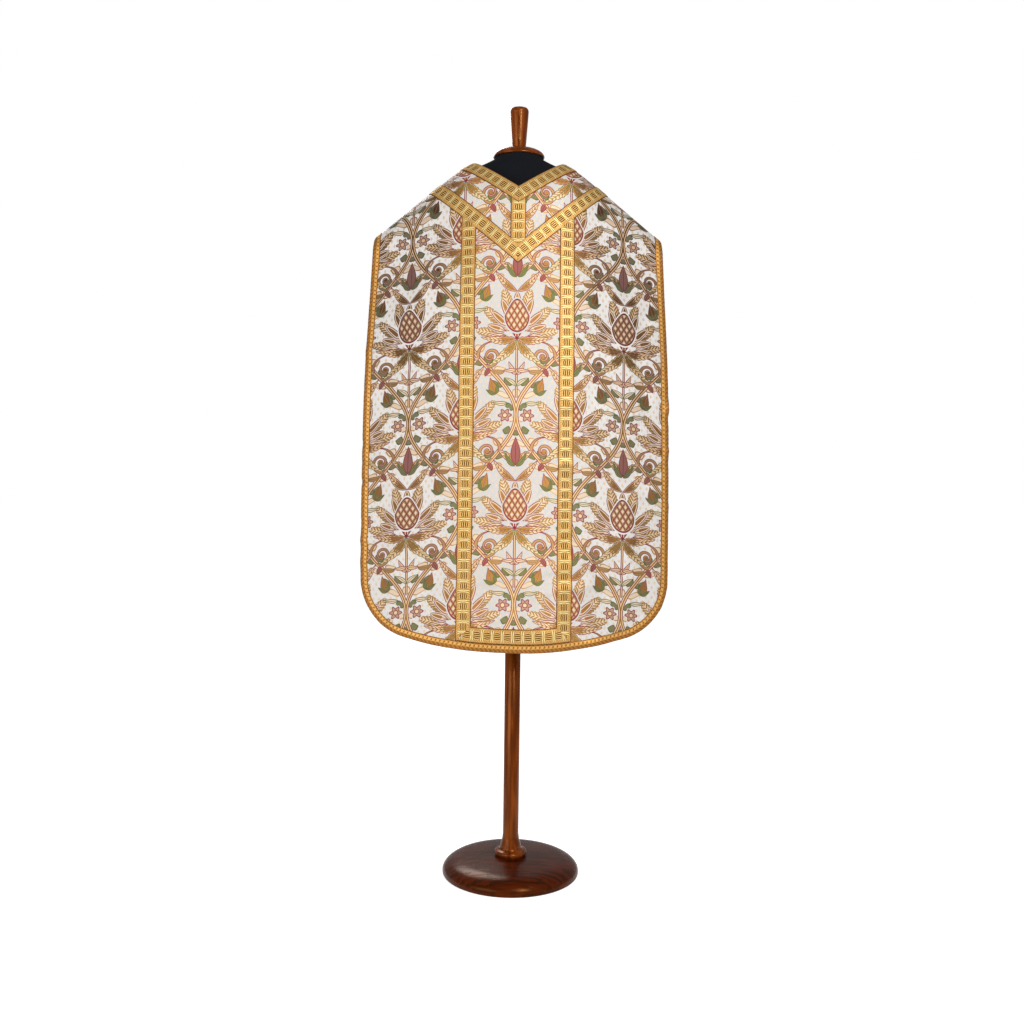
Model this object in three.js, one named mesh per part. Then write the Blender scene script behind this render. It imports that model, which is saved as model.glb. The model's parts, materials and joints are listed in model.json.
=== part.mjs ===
// A roman chasuble hanging on a limbless dress form.
//
// Millimetres, +Z up. The origin is on the floor under the middle of the stand, and the front
// of the vestment faces -Y. Left and right are as seen from the front, so right is +X.
//
// Every cloth piece is a patch of one of two curved sheets, the front and the back, which meet
// at the shoulder line. A place on a sheet is written { x, down }: x across the body, and down,
// the length of cloth below the shoulder line. clothPoint() turns that into a place in space.

import * as THREE from 'three';

// ---------------------------------------------------------------- driving dimensions

const CLOTH = 2.5;              // brocade with its interlining
const GALLOON = 1.2;            // woven gold braid
const GAP = 0.3;                // between neighbouring pieces
const HALF_GAP = GAP / 2;

const NECK = { x: 102, z: 1543 };         // where the neckline crosses the shoulder line
const SHOULDER = { x: 311, z: 1380 };     // the outer corner of the shoulder
const NECK_EASE = 30;                     // how softly the shoulder line levels off at the neck
const MIDDLE_EASE = 60;                   // how softly left turns into right in the middle

const GALLOON_WIDTH = 32;       // the wide braid of the columns and of the two chevrons
const EDGE_WIDTH = 17;          // the narrow braid round the outside

// How each sheet hangs. It rolls over the shoulder line, reach out and fall down, by amounts
// that shrink from the neck to the shoulder corner. It then settles to its hanging depth, hang
// in the middle, which flares towards the hem and wraps back towards the sides.
const FRONT = {
  sign: -1,
  reach: { neck: 96, corner: 28 },
  fall: { neck: 135, corner: 40 },
  hang: 142, flare: 0.009, wrap: 700, settle: 350,
  hemZ: 503, hemRadius: 1020, sideX: 326, cornerRadius: 121, sideBow: 5,
};
const BACK = {
  sign: 1,
  reach: { neck: 88, corner: 26 },
  fall: { neck: 120, corner: 40 },
  hang: 118, flare: 0.012, wrap: 900, settle: 350,
  hemZ: 486, hemRadius: 1050, sideX: 337, cornerRadius: 130, sideBow: 5,
};

// Lines drawn on the front, straight as seen from in front, from height z in the middle up to
// the shoulder line at x.
const NECKLINE = { z: 1477, x: NECK.x, power: 1 };
const NECK_GALLOON_EDGE = { z: 1439, x: 125, power: 1 };
const CHEVRON_TOP = { z: 1347, x: 172, power: 1 };
const CHEVRON_SEAM = { z: 1328.5, x: 182, power: 1 };
const CHEVRON_FOOT = { z: 1310, x: 193, power: 1 };
// The same on the back, where the neckline is a shallow curve.
const BACK_NECKLINE = { z: 1512, x: NECK.x, power: 2 };
const BACK_NECK_GALLOON_EDGE = { z: 1480, x: 125, power: 2 };

const FRONT_SEAM_X = 103;       // the column's seams, each under the middle of a braid
const BACK_SEAM_X = 124;

// Where the grids of the front panels stand along the chevron seam, closer together as the
// cloth turns over the shoulder line.
const COLUMN_X = [0, 22, 44, 66, FRONT_SEAM_X - GALLOON_WIDTH / 2];
const CHEVRON_X = [FRONT_SEAM_X + GALLOON_WIDTH / 2, 136, 152, 164, 173, 179, CHEVRON_SEAM.x];
const SHOULDER_X = [210, 238, 266, SHOULDER.x - EDGE_WIDTH];
const BACK_COLUMN_X = [0, 32, 60, 80, 92, 99, NECK.x, BACK_SEAM_X - GALLOON_WIDTH / 2];
const BACK_SHOULDER_X = [BACK_SEAM_X + GALLOON_WIDTH / 2, 170, 200, 232, 263, SHOULDER.x - EDGE_WIDTH];
const ROWS = [
  0, 0.014, 0.03, 0.048, 0.07, 0.1, 0.14, 0.19, 0.25, 0.34, 0.45, 0.58, 0.71, 0.83, 0.89, 0.93, 0.965, 1,
];
const YOKE_ROWS = [0, 0.14, 0.28, 0.42, 0.56, 0.7, 0.85, 1];
const ACROSS_BRAID = [0, 0.25, 0.5, 0.75, 1];

const FORM = {
  capRadius: 56, capZ: 1559, capTopZ: 1581.5, finialZ: 1671.5,
  poleRadius: 17, baseRadius: 148, baseHeight: 38, bottomZ: 838, segments: 28,
};
// The form's horizontal sections: half its width, its depth to the front and to the back, and
// how square it is, where 2 is an ellipse and less is more pointed at the sides. The shoulder
// sections give no height: they end just under the cloth's shoulder line.
const NECK_SECTIONS = [
  { z: 1558.7, halfWidth: 53, front: 53, back: 53, square: 2 },
  { z: 1552, halfWidth: 56, front: 53, back: 53, square: 2 },
  { z: 1545, halfWidth: 74, front: 53, back: 52, square: 1.6 },
];
const SHOULDER_SECTIONS = [
  { halfWidth: NECK.x, front: 54, back: 43, square: 1.2 },
  { halfWidth: 120, front: 58, back: 50, square: 1.2 },
  { halfWidth: 150, front: 64, back: 61, square: 1.4 },
  { halfWidth: 180, front: 66, back: 64, square: 1.45 },
  { halfWidth: 205, front: 77, back: 71, square: 1.6 },
];
const BODY_SECTIONS = [
  { z: 1432, halfWidth: 216, front: 86, back: 80, square: 1.8 },
  { z: 1390, halfWidth: 216, front: 97, back: 90, square: 2 },
  { z: 1330, halfWidth: 202, front: 106, back: 97, square: 2.1 },
  { z: 1250, halfWidth: 180, front: 110, back: 98, square: 2.2 },
  { z: 1150, halfWidth: 160, front: 104, back: 88, square: 2.2 },
  { z: 1060, halfWidth: 151, front: 98, back: 82, square: 2.2 },
  { z: 960, halfWidth: 164, front: 102, back: 94, square: 2.2 },
  { z: 885, halfWidth: 172, front: 104, back: 100, square: 2.2 },
  { z: 848, halfWidth: 168, front: 100, back: 96, square: 2.2 },
  { z: FORM.bottomZ, halfWidth: 156, front: 90, back: 86, square: 2.2 },
];

const MATERIALS = {
  brocade: new THREE.MeshStandardMaterial({ color: 0xd5bca5, roughness: 0.55, metalness: 0.1 }),
  galloon: new THREE.MeshStandardMaterial({ color: 0xd6ae72, roughness: 0.4, metalness: 0.6 }),
  cover: new THREE.MeshStandardMaterial({ color: 0x14141c, roughness: 0.9, metalness: 0 }),
  wood: new THREE.MeshStandardMaterial({ color: 0x6a2f16, roughness: 0.25, metalness: 0 }),
};

// ---------------------------------------------------------------- the two sheets

const mix = (a, b, t) => a + (b - a) * t;
const smooth = (t) => {
  const c = Math.min(Math.max(t, 0), 1);
  return c * c * (3 - 2 * c);
};

// The shoulder line slopes evenly from the neck to the corner and eases to level between.
const easedPast = (x) => {
  const past = Math.abs(x) - NECK.x;
  return (past + Math.hypot(past, NECK_EASE)) / 2;
};
const SLOPE = (NECK.z - SHOULDER.z) / (easedPast(SHOULDER.x) - easedPast(NECK.x));
const ridgeHeight = (x) => NECK.z + SLOPE * (easedPast(NECK.x) - easedPast(x));

// The roll over the shoulders is 0 at the neck end, 1 at the corner, and even across the middle.
const easedFromMiddle = (x) => Math.hypot(x, MIDDLE_EASE) - MIDDLE_EASE;

function rollOf(face, x) {
  const t = easedFromMiddle(x) / easedFromMiddle(SHOULDER.x);
  const reach = mix(face.reach.neck, face.reach.corner, t);
  const fall = mix(face.fall.neck, face.fall.corner, t);
  return { reach, fall, length: (Math.PI / 4) * (reach + fall) };
}

function clothPoint(face, { x, down }) {
  const roll = rollOf(face, x);
  const angle = (Math.min(down / roll.length, 1) * Math.PI) / 2;
  const drop = roll.fall * (1 - Math.cos(angle)) + Math.max(down - roll.length, 0);
  const z = ridgeHeight(x) - drop;
  const hang = face.hang + face.flare * (SHOULDER.z - z) - (x * x) / (2 * face.wrap);
  const depth = roll.reach * Math.sin(angle) + (hang - roll.reach) * smooth(drop / face.settle);
  return new THREE.Vector3(x, face.sign * depth, z);
}

// The place on a sheet at x and height z.
function placeAt(face, x, z) {
  const roll = rollOf(face, x);
  const drop = Math.max(ridgeHeight(x) - z, 0);
  if (drop >= roll.fall) return { x, down: roll.length + drop - roll.fall };
  return { x, down: (Math.acos(1 - drop / roll.fall) / (Math.PI / 2)) * roll.length };
}

function clothNormal(face, { x, down }) {
  const step = 0.05;
  const above = Math.max(down - step, 0);
  const across = clothPoint(face, { x: x + step, down })
    .sub(clothPoint(face, { x: x - step, down }));
  const along = clothPoint(face, { x, down: down + step })
    .sub(clothPoint(face, { x, down: above }));
  return across.cross(along).multiplyScalar(face.sign).normalize();
}

// ---------------------------------------------------------------- lines on the sheets

// A drawn line's place at the fraction t of the way from the middle to the shoulder line.
function onLine(face, line, t) {
  const rise = ridgeHeight(line.x) - line.z;
  return placeAt(face, line.x * t, line.z + rise * t ** line.power);
}

// The outside line of a sheet, moved inwards by inset: a leaning side, a round corner and a
// wide hem arc, all tangent. The corner is cut in half, between the side and the hem.
function outline(face, inset) {
  const radius = face.cornerRadius - inset;
  const cornerX = face.sideX - face.cornerRadius;
  const hemCentreZ = face.hemZ + face.hemRadius;
  const reach = face.hemRadius - face.cornerRadius;
  const cornerZ = hemCentreZ - Math.sqrt(reach ** 2 - cornerX ** 2);
  const tangent = Math.acos(cornerX / reach);           // below level, seen from the corner
  const sideLength = placeAt(face, face.sideX, cornerZ).down;
  const halfCorner = (radius * Math.PI) / 4;
  const onCorner = (angle) => placeAt(
    face, cornerX + radius * Math.cos(angle), cornerZ - radius * Math.sin(angle));

  const hemHeight = (x) => hemCentreZ - Math.sqrt((face.hemRadius - inset) ** 2 - x * x);
  const side = (t) => {
    const along = t * (sideLength + halfCorner);
    if (along > sideLength) return onCorner((along - sideLength) / radius);
    const part = along / sideLength;
    const lean = mix(SHOULDER.x, face.sideX, part) + face.sideBow * Math.sin(Math.PI * part);
    return { x: lean - inset, down: Math.max(along, HALF_GAP) };
  };
  const hem = (startX, t) => {
    const endX = (face.hemRadius - inset) * Math.cos(tangent);
    const straight = endX - startX;
    const bend = (tangent - Math.PI / 4) * radius;
    const along = t * (straight + bend);
    if (along > straight) return onCorner(tangent - (along - straight) / radius);
    return placeAt(face, startX + along, hemHeight(startX + along));
  };
  return { side, hem, hemHeight };
}

// A smooth grid inside four border lines, each a function of 0 to 1.
function coons({ top, bottom, left, right }, u, v) {
  const blend = (key) =>
    mix(top(u)[key], bottom(u)[key], v) + mix(left(v)[key], right(v)[key], u)
    - mix(mix(top(0)[key], top(1)[key], u), mix(bottom(0)[key], bottom(1)[key], u), v);
  return { x: blend('x'), down: Math.max(blend('down'), HALF_GAP) };
}

// Reads a table of stations as a line: position 0 to 1 runs evenly along its entries.
function alongTable(table, t) {
  const place = t * (table.length - 1);
  const index = Math.min(Math.floor(place), table.length - 2);
  return mix(table[index], table[index + 1], place - index);
}

const verticalLine = (face, x, topPlace, bottomZ) => (t) =>
  ({ x, down: mix(topPlace.down, placeAt(face, x, bottomZ).down, t) });

// ---------------------------------------------------------------- closed walls

// A closed wall from a grid of places: its inner face at lift from the sheet, its outer face
// thickness further out.
function wall(name, material, face, grid, lift, thickness) {
  const rows = grid.length;
  const columns = grid[0].length;
  const points = [];
  for (const height of [lift, lift + thickness]) {
    for (const row of grid) {
      for (const place of row) {
        const normal = clothNormal(face, place);
        points.push(clothPoint(face, place).addScaledVector(normal, height));
      }
    }
  }
  const at = (layer, row, column) => layer * rows * columns + row * columns + column;
  const faces = [];
  // Cells on the left are split the other way, so that the two halves mirror each other.
  const quad = (a, b, c, d, onTheLeft = false) => {
    if (onTheLeft) faces.push([a, b, d], [b, c, d]);
    else faces.push([a, b, c], [a, c, d]);
  };
  for (let r = 0; r + 1 < rows; r += 1) {
    for (let c = 0; c + 1 < columns; c += 1) {
      const onTheLeft = grid[r][c].x + grid[r + 1][c + 1].x < 0;
      quad(at(1, r, c), at(1, r + 1, c), at(1, r + 1, c + 1), at(1, r, c + 1), onTheLeft);
      quad(at(0, r, c), at(0, r, c + 1), at(0, r + 1, c + 1), at(0, r + 1, c), onTheLeft);
    }
  }
  for (let r = 0; r + 1 < rows; r += 1) {
    const last = columns - 1;
    quad(at(0, r, 0), at(0, r + 1, 0), at(1, r + 1, 0), at(1, r, 0));
    quad(at(0, r, last), at(1, r, last), at(1, r + 1, last), at(0, r + 1, last));
  }
  for (let c = 0; c + 1 < columns; c += 1) {
    const last = rows - 1;
    quad(at(0, 0, c), at(1, 0, c), at(1, 0, c + 1), at(0, 0, c + 1));
    quad(at(0, last, c), at(0, last, c + 1), at(1, last, c + 1), at(1, last, c));
  }
  return closedMesh(name, material, points, faces);
}

// Turns the faces outwards, whichever way the grid ran, and makes the mesh.
function closedMesh(name, material, points, faces) {
  let volume = 0;
  for (const [a, b, c] of faces) {
    volume += points[a].dot(points[b].clone().cross(points[c]));
  }
  const index = faces.flatMap(([a, b, c]) => (volume > 0 ? [a, b, c] : [a, c, b]));
  const geometry = new THREE.BufferGeometry();
  geometry.setAttribute('position', new THREE.Float32BufferAttribute(
    points.flatMap((p) => [p.x, p.y, p.z]), 3));
  geometry.setIndex(index);
  geometry.computeVertexNormals();
  const mesh = new THREE.Mesh(geometry, material);
  mesh.name = name;
  return mesh;
}

const panel = (name, face, grid) =>
  wall(name, MATERIALS.brocade, face, grid, -CLOTH, CLOTH);
const galloon = (name, face, grid) =>
  wall(name, MATERIALS.galloon, face, grid, GAP, GALLOON);

const flipped = ({ x, down }) => ({ x: -x, down });
const mirrored = (grid) => grid.map((row) => row.map(flipped).reverse());

// ---------------------------------------------------------------- grids of the panels

// A seam or edge line, moved by distance at right angles to itself, so that two pieces that
// share a line stay a gap apart.
function besideLine(face, line, t, distance) {
  const step = 1e-3;
  const here = onLine(face, line, t);
  const before = onLine(face, line, Math.max(t - step, 0));
  const after = onLine(face, line, Math.min(t + step, 1));
  const [dx, dd] = [after.x - before.x, after.down - before.down];
  const length = Math.hypot(dx, dd);
  return {
    x: here.x - (distance * dd) / length,
    down: Math.max(here.down + (distance * dx) / length, HALF_GAP),
  };
}

// The chevron seam's lower side at x, and the shoulder line beyond the seam's end.
function frontTop(x) {
  if (x > CHEVRON_SEAM.x) return { x, down: HALF_GAP };
  return besideLine(FRONT, CHEVRON_SEAM, x / CHEVRON_SEAM.x, HALF_GAP);
}

// The neckline at the back, and the shoulder line beyond it.
function backTop(x) {
  if (x >= NECK.x) return { x, down: HALF_GAP };
  return onLine(BACK, BACK_NECKLINE, x / NECK.x);
}

const symmetric = (table) => [...table.slice(1).reverse().map((x) => -x), ...table];
const mirrorTop = (top) => (x) => {
  const place = top(Math.abs(x));
  return { x: Math.sign(x) * place.x, down: place.down };
};

// The middle panel of a sheet: the field between the column braids, with a border line at each
// side seam and at the hem.
function centreGrid(face, top, stations, seamX) {
  const table = symmetric(stations);
  const topPlace = mirrorTop(top);
  const inside = outline(face, EDGE_WIDTH);
  const outside = outline(face, 0);
  const reach = stations[stations.length - 1];
  const fieldBottom = (x) => placeAt(face, x, inside.hemHeight(x));
  const field = {
    top: (u) => topPlace(alongTable(table, u)),
    bottom: (u) => fieldBottom(alongTable(table, u)),
    left: verticalLine(face, -reach, topPlace(-reach), inside.hemHeight(reach)),
    right: verticalLine(face, reach, topPlace(reach), inside.hemHeight(reach)),
  };
  const edgeX = seamX - HALF_GAP;
  const seam = verticalLine(face, edgeX, topPlace(edgeX), inside.hemHeight(edgeX));
  const grid = ROWS.map((v) => [
    { x: -edgeX, down: seam(v).down },
    ...table.map((_, i) => coons(field, i / (table.length - 1), v)),
    { x: edgeX, down: seam(v).down },
  ]);
  grid.push([-edgeX, ...table, edgeX].map((x) => placeAt(face, x, outside.hemHeight(x))));
  return grid;
}

// The right-hand side panel of a sheet: the field between a column braid and the edge braid,
// with a border line at the seam, at the outside edge and at the hem.
function sideGrid(face, top, stations, seamX) {
  const inside = outline(face, EDGE_WIDTH);
  const outside = outline(face, 0);
  const startX = stations[0];
  const field = {
    top: (u) => top(alongTable(stations, u)),
    bottom: (u) => inside.hem(startX, u),
    left: verticalLine(face, startX, top(startX), inside.hemHeight(startX)),
    right: inside.side,
  };
  const edgeX = seamX + HALF_GAP;
  const seam = verticalLine(face, edgeX, top(edgeX), inside.hemHeight(edgeX));
  const cells = stations.length - 1;
  const grid = ROWS.map((v) => [
    seam(v),
    ...stations.map((_, i) => coons(field, i / cells, v)),
    outside.side(v),
  ]);
  grid.push([
    placeAt(face, edgeX, outside.hemHeight(edgeX)),
    ...stations.map((_, i) => outside.hem(startX, i / cells)),
    outside.side(1),
  ]);
  return grid;
}

// The right-hand yoke: from the middle seam to the shoulder line, between neckline and chevron.
function yokeGrid() {
  const stations = [...COLUMN_X, FRONT_SEAM_X, ...CHEVRON_X];
  const seamAt = (x) => besideLine(FRONT, CHEVRON_SEAM, x / CHEVRON_SEAM.x, -HALF_GAP);
  const firstX = (place) => ({ x: Math.max(place.x, HALF_GAP), down: place.down });
  const top = (u) => firstX(onLine(FRONT, NECKLINE, alongTable(stations, u) / CHEVRON_SEAM.x));
  const bottom = (u) => firstX(seamAt(alongTable(stations, u)));
  const border = {
    top,
    bottom,
    left: (v) => ({ x: HALF_GAP, down: mix(top(0).down, bottom(0).down, v) }),
    right: (v) => ({ x: mix(top(1).x, bottom(1).x, v), down: HALF_GAP }),
  };
  const cells = stations.length - 1;
  return YOKE_ROWS.map((v) => stations.map((_, i) => coons(border, i / cells, v)));
}

// ---------------------------------------------------------------- grids of the braids

// A braid between two drawn lines, from the middle to the shoulder line. Its stations crowd
// together where the cloth turns over the shoulder.
function chevronGrid(face, upper, lower, cells, startX) {
  return ACROSS_BRAID.map((across) => Array.from({ length: cells + 1 }, (_, i) => {
    const t = 1 - (1 - i / cells) ** 2;
    const above = besideLine(face, upper, t, HALF_GAP);
    const below = besideLine(face, lower, t, -HALF_GAP);
    const x = Math.max(mix(above.x, below.x, across), startX);
    return { x, down: mix(above.down, below.down, across) };
  }));
}

// The upright braid over a seam: three lines down the cloth, from its top to a mitred foot.
// Between those it takes the rows of the panels that it lies on.
function columnGrid(face, seamX, centre, side, topAt, foot) {
  const half = GALLOON_WIDTH / 2;
  const lines = [seamX - half, seamX, seamX + half];
  const tops = lines.map((x) => topAt(x));
  const feet = lines.map((x, i) => placeAt(face, x, foot.heights[i]));
  const clearance = GALLOON_WIDTH / 4;
  const isBetween = ({ down }, i) =>
    down > tops[i].down + clearance && down < feet[i].down - clearance;
  const rows = side.map((row, r) => [centre[r][centre[r].length - 2], row[0], row[1]])
    .filter((row) => row.every(isBetween))
    .map((row) => row.map(({ down }, i) => ({ x: lines[i], down })));
  return [tops, ...rows, feet];
}

// The heights of the mitre that joins an upright braid to the level braid at its foot.
function mitre(face, seamX) {
  const half = GALLOON_WIDTH / 2;
  const lowEdge = outline(face, EDGE_WIDTH + GAP);
  const highEdge = outline(face, EDGE_WIDTH + GAP + GALLOON_WIDTH);
  const low = (x) => lowEdge.hemHeight(x);
  const high = (x) => highEdge.hemHeight(x);
  const heights = [
    high(seamX - half) + GAP,
    (low(seamX) + high(seamX)) / 2 + GAP,
    low(seamX + half) + GAP,
  ];
  return { low, high, heights };
}

// The level braid at the foot of a column, cut to the mitre at both ends.
function footGrid(face, seamX) {
  const half = GALLOON_WIDTH / 2;
  const { low, high } = mitre(face, seamX);
  const cells = 10;
  return [0, 0.5, 1].map((t) => Array.from({ length: cells + 1 }, (_, i) => {
    const reach = seamX + mix(-half, half, t) - HALF_GAP;
    const x = mix(-reach, reach, i / cells);
    return placeAt(face, x, mix(high(x), low(x), t));
  }));
}

// The edge braid, from the left end of the shoulder line round the hem to the right end: pairs
// of places from the border cells of the three panels.
function edgeGrid(centre, side) {
  const last = side[0].length - 1;
  const downTheSide = side.slice(0, -1).map((row) => [row[last - 1], row[last]]);
  const corner = [side[side.length - 2][last - 1], side[side.length - 1][last]];
  const alongSideHem = side[0].slice(1, -1).map((_, i) => [
    side[side.length - 2][i + 1], side[side.length - 1][i + 1],
  ]).reverse().slice(1);
  const right = [...downTheSide.slice(0, -1), corner, ...alongSideHem];
  const middle = centre[0].slice(1, -1).map((_, i) => [
    centre[centre.length - 2][i + 1], centre[centre.length - 1][i + 1],
  ]);
  const left = right.map((pair) => pair.map(flipped));
  const pairs = [...left, ...middle, ...right.reverse()];
  return [pairs.map(([, outer]) => outer), pairs.map(([inner]) => inner)];
}

// ---------------------------------------------------------------- the vestment

function chasuble() {
  const group = new THREE.Group();
  const pair = (make, name, face, grid) => {
    group.add(make(`${name}_right`, face, grid), make(`${name}_left`, face, mirrored(grid)));
  };

  const frontStations = [...CHEVRON_X, ...SHOULDER_X];
  const frontCentre = centreGrid(FRONT, frontTop, COLUMN_X, FRONT_SEAM_X);
  const frontSide = sideGrid(FRONT, frontTop, frontStations, FRONT_SEAM_X);
  group.add(panel('front_centre', FRONT, frontCentre));
  pair(panel, 'front_side', FRONT, frontSide);
  pair(panel, 'yoke', FRONT, yokeGrid());

  const backCentre = centreGrid(BACK, backTop, BACK_COLUMN_X, BACK_SEAM_X);
  const backSide = sideGrid(BACK, backTop, BACK_SHOULDER_X, BACK_SEAM_X);
  group.add(panel('back_centre', BACK, backCentre));
  pair(panel, 'back_side', BACK, backSide);

  const chevronCells = 16;
  const neckCells = 12;
  pair(galloon, 'neck_galloon', FRONT,
    chevronGrid(FRONT, NECKLINE, NECK_GALLOON_EDGE, neckCells, HALF_GAP));
  pair(galloon, 'chevron_galloon', FRONT,
    chevronGrid(FRONT, CHEVRON_TOP, CHEVRON_FOOT, chevronCells, HALF_GAP));
  group.add(galloon('stem_galloon', FRONT, stemGrid()));
  group.add(galloon('back_neck_galloon', BACK, backNeckGrid(backCentre)));

  const underChevron = (x) => {
    const place = onLine(FRONT, CHEVRON_FOOT, x / CHEVRON_FOOT.x);
    return { x, down: place.down + GAP };
  };
  pair(galloon, 'front_column_galloon', FRONT,
    columnGrid(
      FRONT, FRONT_SEAM_X, frontCentre, frontSide, underChevron, mitre(FRONT, FRONT_SEAM_X)));
  group.add(galloon('front_foot_galloon', FRONT, footGrid(FRONT, FRONT_SEAM_X)));

  pair(galloon, 'back_column_galloon', BACK,
    columnGrid(
      BACK, BACK_SEAM_X, backCentre, backSide, backTop, mitre(BACK, BACK_SEAM_X)));
  group.add(galloon('back_foot_galloon', BACK, footGrid(BACK, BACK_SEAM_X)));

  group.add(galloon('front_edge_galloon', FRONT, edgeGrid(frontCentre, frontSide)));
  group.add(galloon('back_edge_galloon', BACK, edgeGrid(backCentre, backSide)));
  return group;
}

// The short upright braid between the two chevrons.
function stemGrid() {
  const half = GALLOON_WIDTH / 2;
  const lines = [-half, 0, half];
  const topAt = (x) => onLine(FRONT, NECK_GALLOON_EDGE, Math.abs(x) / NECK_GALLOON_EDGE.x).down;
  const footAt = (x) => onLine(FRONT, CHEVRON_TOP, Math.abs(x) / CHEVRON_TOP.x).down;
  return YOKE_ROWS.map((v) => lines.map((x) => (
    { x, down: mix(topAt(x) + GAP, footAt(x) - GAP, v) })));
}

// The braid round the back of the neck, in one piece from column braid to column braid. It
// takes the first rows of the panel that it lies on.
function backNeckGrid(centre) {
  const endX = BACK_SEAM_X - GALLOON_WIDTH / 2 - 2 * GAP;
  const stations = centre[0].slice(1, -1).map(({ x }) => Math.sign(x) * Math.min(Math.abs(x), endX));
  const edge = stations.map((x) => ({
    x, down: onLine(BACK, BACK_NECK_GALLOON_EDGE, Math.abs(x) / BACK_NECK_GALLOON_EDGE.x).down,
  }));
  const rows = centre.slice(0, 4).map((row) => stations.map((x, i) => (
    { x, down: Math.min(row[i + 1].down, edge[i].down - 1) })));
  return [...rows, edge];
}

// ---------------------------------------------------------------- the dress form

const lathe = (name, material, profile) => {
  const points = profile.map(([r, z]) => new THREE.Vector2(r, z));
  const geometry = new THREE.LatheGeometry(points, FORM.segments);
  geometry.rotateX(Math.PI / 2);
  const mesh = new THREE.Mesh(geometry, material);
  mesh.name = name;
  return mesh;
};

// Points on a quarter round, from one angle to another, for a turned profile.
const quarterRound = (r, z, radiusR, radiusZ, from, to, steps) =>
  Array.from({ length: steps + 1 }, (_, i) => {
    const angle = mix(from, to, i / steps);
    return [r + radiusR * Math.cos(angle), z + radiusZ * Math.sin(angle)];
  });

// A smooth limbless body, lofted through its sections.
function torso() {
  const underCloth = (CLOTH + GAP) * Math.hypot(1, SLOPE);
  const shoulders = SHOULDER_SECTIONS.map((section) => (
    { ...section, z: ridgeHeight(section.halfWidth) - underCloth }));
  const sections = [...NECK_SECTIONS, ...shoulders, ...BODY_SECTIONS];
  const points = [];
  for (const { z, halfWidth, front, back, square } of sections) {
    for (let i = 0; i < FORM.segments; i += 1) {
      const angle = (2 * Math.PI * i) / FORM.segments;
      const depth = Math.sin(angle) < 0 ? front : back;
      const across = Math.sign(Math.cos(angle)) * Math.abs(Math.cos(angle)) ** (2 / square);
      points.push(new THREE.Vector3(halfWidth * across, depth * Math.sin(angle), z));
    }
  }
  const faces = [];
  const around = FORM.segments;
  for (let s = 0; s + 1 < sections.length; s += 1) {
    for (let i = 0; i < around; i += 1) {
      const [a, b] = [s * around + i, s * around + ((i + 1) % around)];
      const onTheRight = points[a].x + points[b].x > 0;
      if (onTheRight) faces.push([a, b + around, b], [a, a + around, b + around]);
      else faces.push([a, a + around, b], [b, a + around, b + around]);
    }
  }
  for (const [start, turn] of [[0, 1], [(sections.length - 1) * around, -1]]) {
    for (let i = 1; i + 1 < around; i += 1) {
      const [b, c] = turn > 0 ? [i, i + 1] : [i + 1, i];
      faces.push([start, start + b, start + c]);
    }
  }
  return closedMesh('torso', MATERIALS.cover, points, faces);
}

function dressForm() {
  const group = new THREE.Group();
  const { capRadius, capZ, capTopZ, finialZ, poleRadius, baseRadius, baseHeight, bottomZ } = FORM;
  group.add(torso());

  const rim = 3;
  const finialFoot = 14.7;
  const finialTop = 20.5;
  group.add(lathe('neck_cap', MATERIALS.wood, [
    [0, capZ],
    [capRadius - rim, capZ],
    [capRadius, capZ + rim],
    ...quarterRound(0, capZ + rim, capRadius, capTopZ - capZ - rim, 0.18, 1.32, 6),
    [0, capTopZ],
  ]));
  const crown = finialTop * 0.6;
  group.add(lathe('finial', MATERIALS.wood, [
    [0, capTopZ + GAP],
    [finialFoot, capTopZ + GAP],
    [finialTop - 1, capTopZ + 62],
    [finialTop, finialZ - crown - 4],
    ...quarterRound(0, finialZ - crown, finialTop, crown, 0, 1.3, 5),
    [0, finialZ],
  ]));
  const collar = 30;
  group.add(lathe('pole', MATERIALS.wood, [
    [0, baseHeight + GAP],
    [collar, baseHeight + GAP],
    ...quarterRound(collar, baseHeight + 12, 5, 9, -1.2, 1.2, 4),
    [poleRadius + 4, baseHeight + 30],
    [poleRadius, baseHeight + 60],
    [poleRadius, bottomZ - GAP],
    [0, bottomZ - GAP],
  ]));
  // The foot is a low dome over a narrow round edge, with a flat seat for the pole.
  const round = 5;
  const shoulder = 52;
  group.add(lathe('base', MATERIALS.wood, [
    [0, 0],
    [baseRadius - round, 0],
    ...quarterRound(baseRadius - round, round, round, round, -1.2, 0, 2),
    ...quarterRound(baseRadius - shoulder, 8, shoulder, 26, 0.14, 1.43, 6),
    [collar + 12, baseHeight],
    [0, baseHeight],
  ]));
  return group;
}

const part = new THREE.Group();
part.add(chasuble(), dressForm());

export default part;
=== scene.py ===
# %% [markdown]
# # A roman chasuble on its dress form
#
# A roman or "fiddleback" chasuble is a stiff vestment with open sides. Front and back are cut
# from one patterned silk, and gold braid, called galloon, covers the seams and the edge. This
# lesson dresses a fixed frame of plain solids: every panel and braid is modelled again as fine
# cloth in the same place, and then given a woven finish made only of shader nodes.
#
# The frame is loaded first. Everything is in metres, +Z is up and the front faces -Y.

# %% Load the frame
import json
import math
from dataclasses import dataclass

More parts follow.
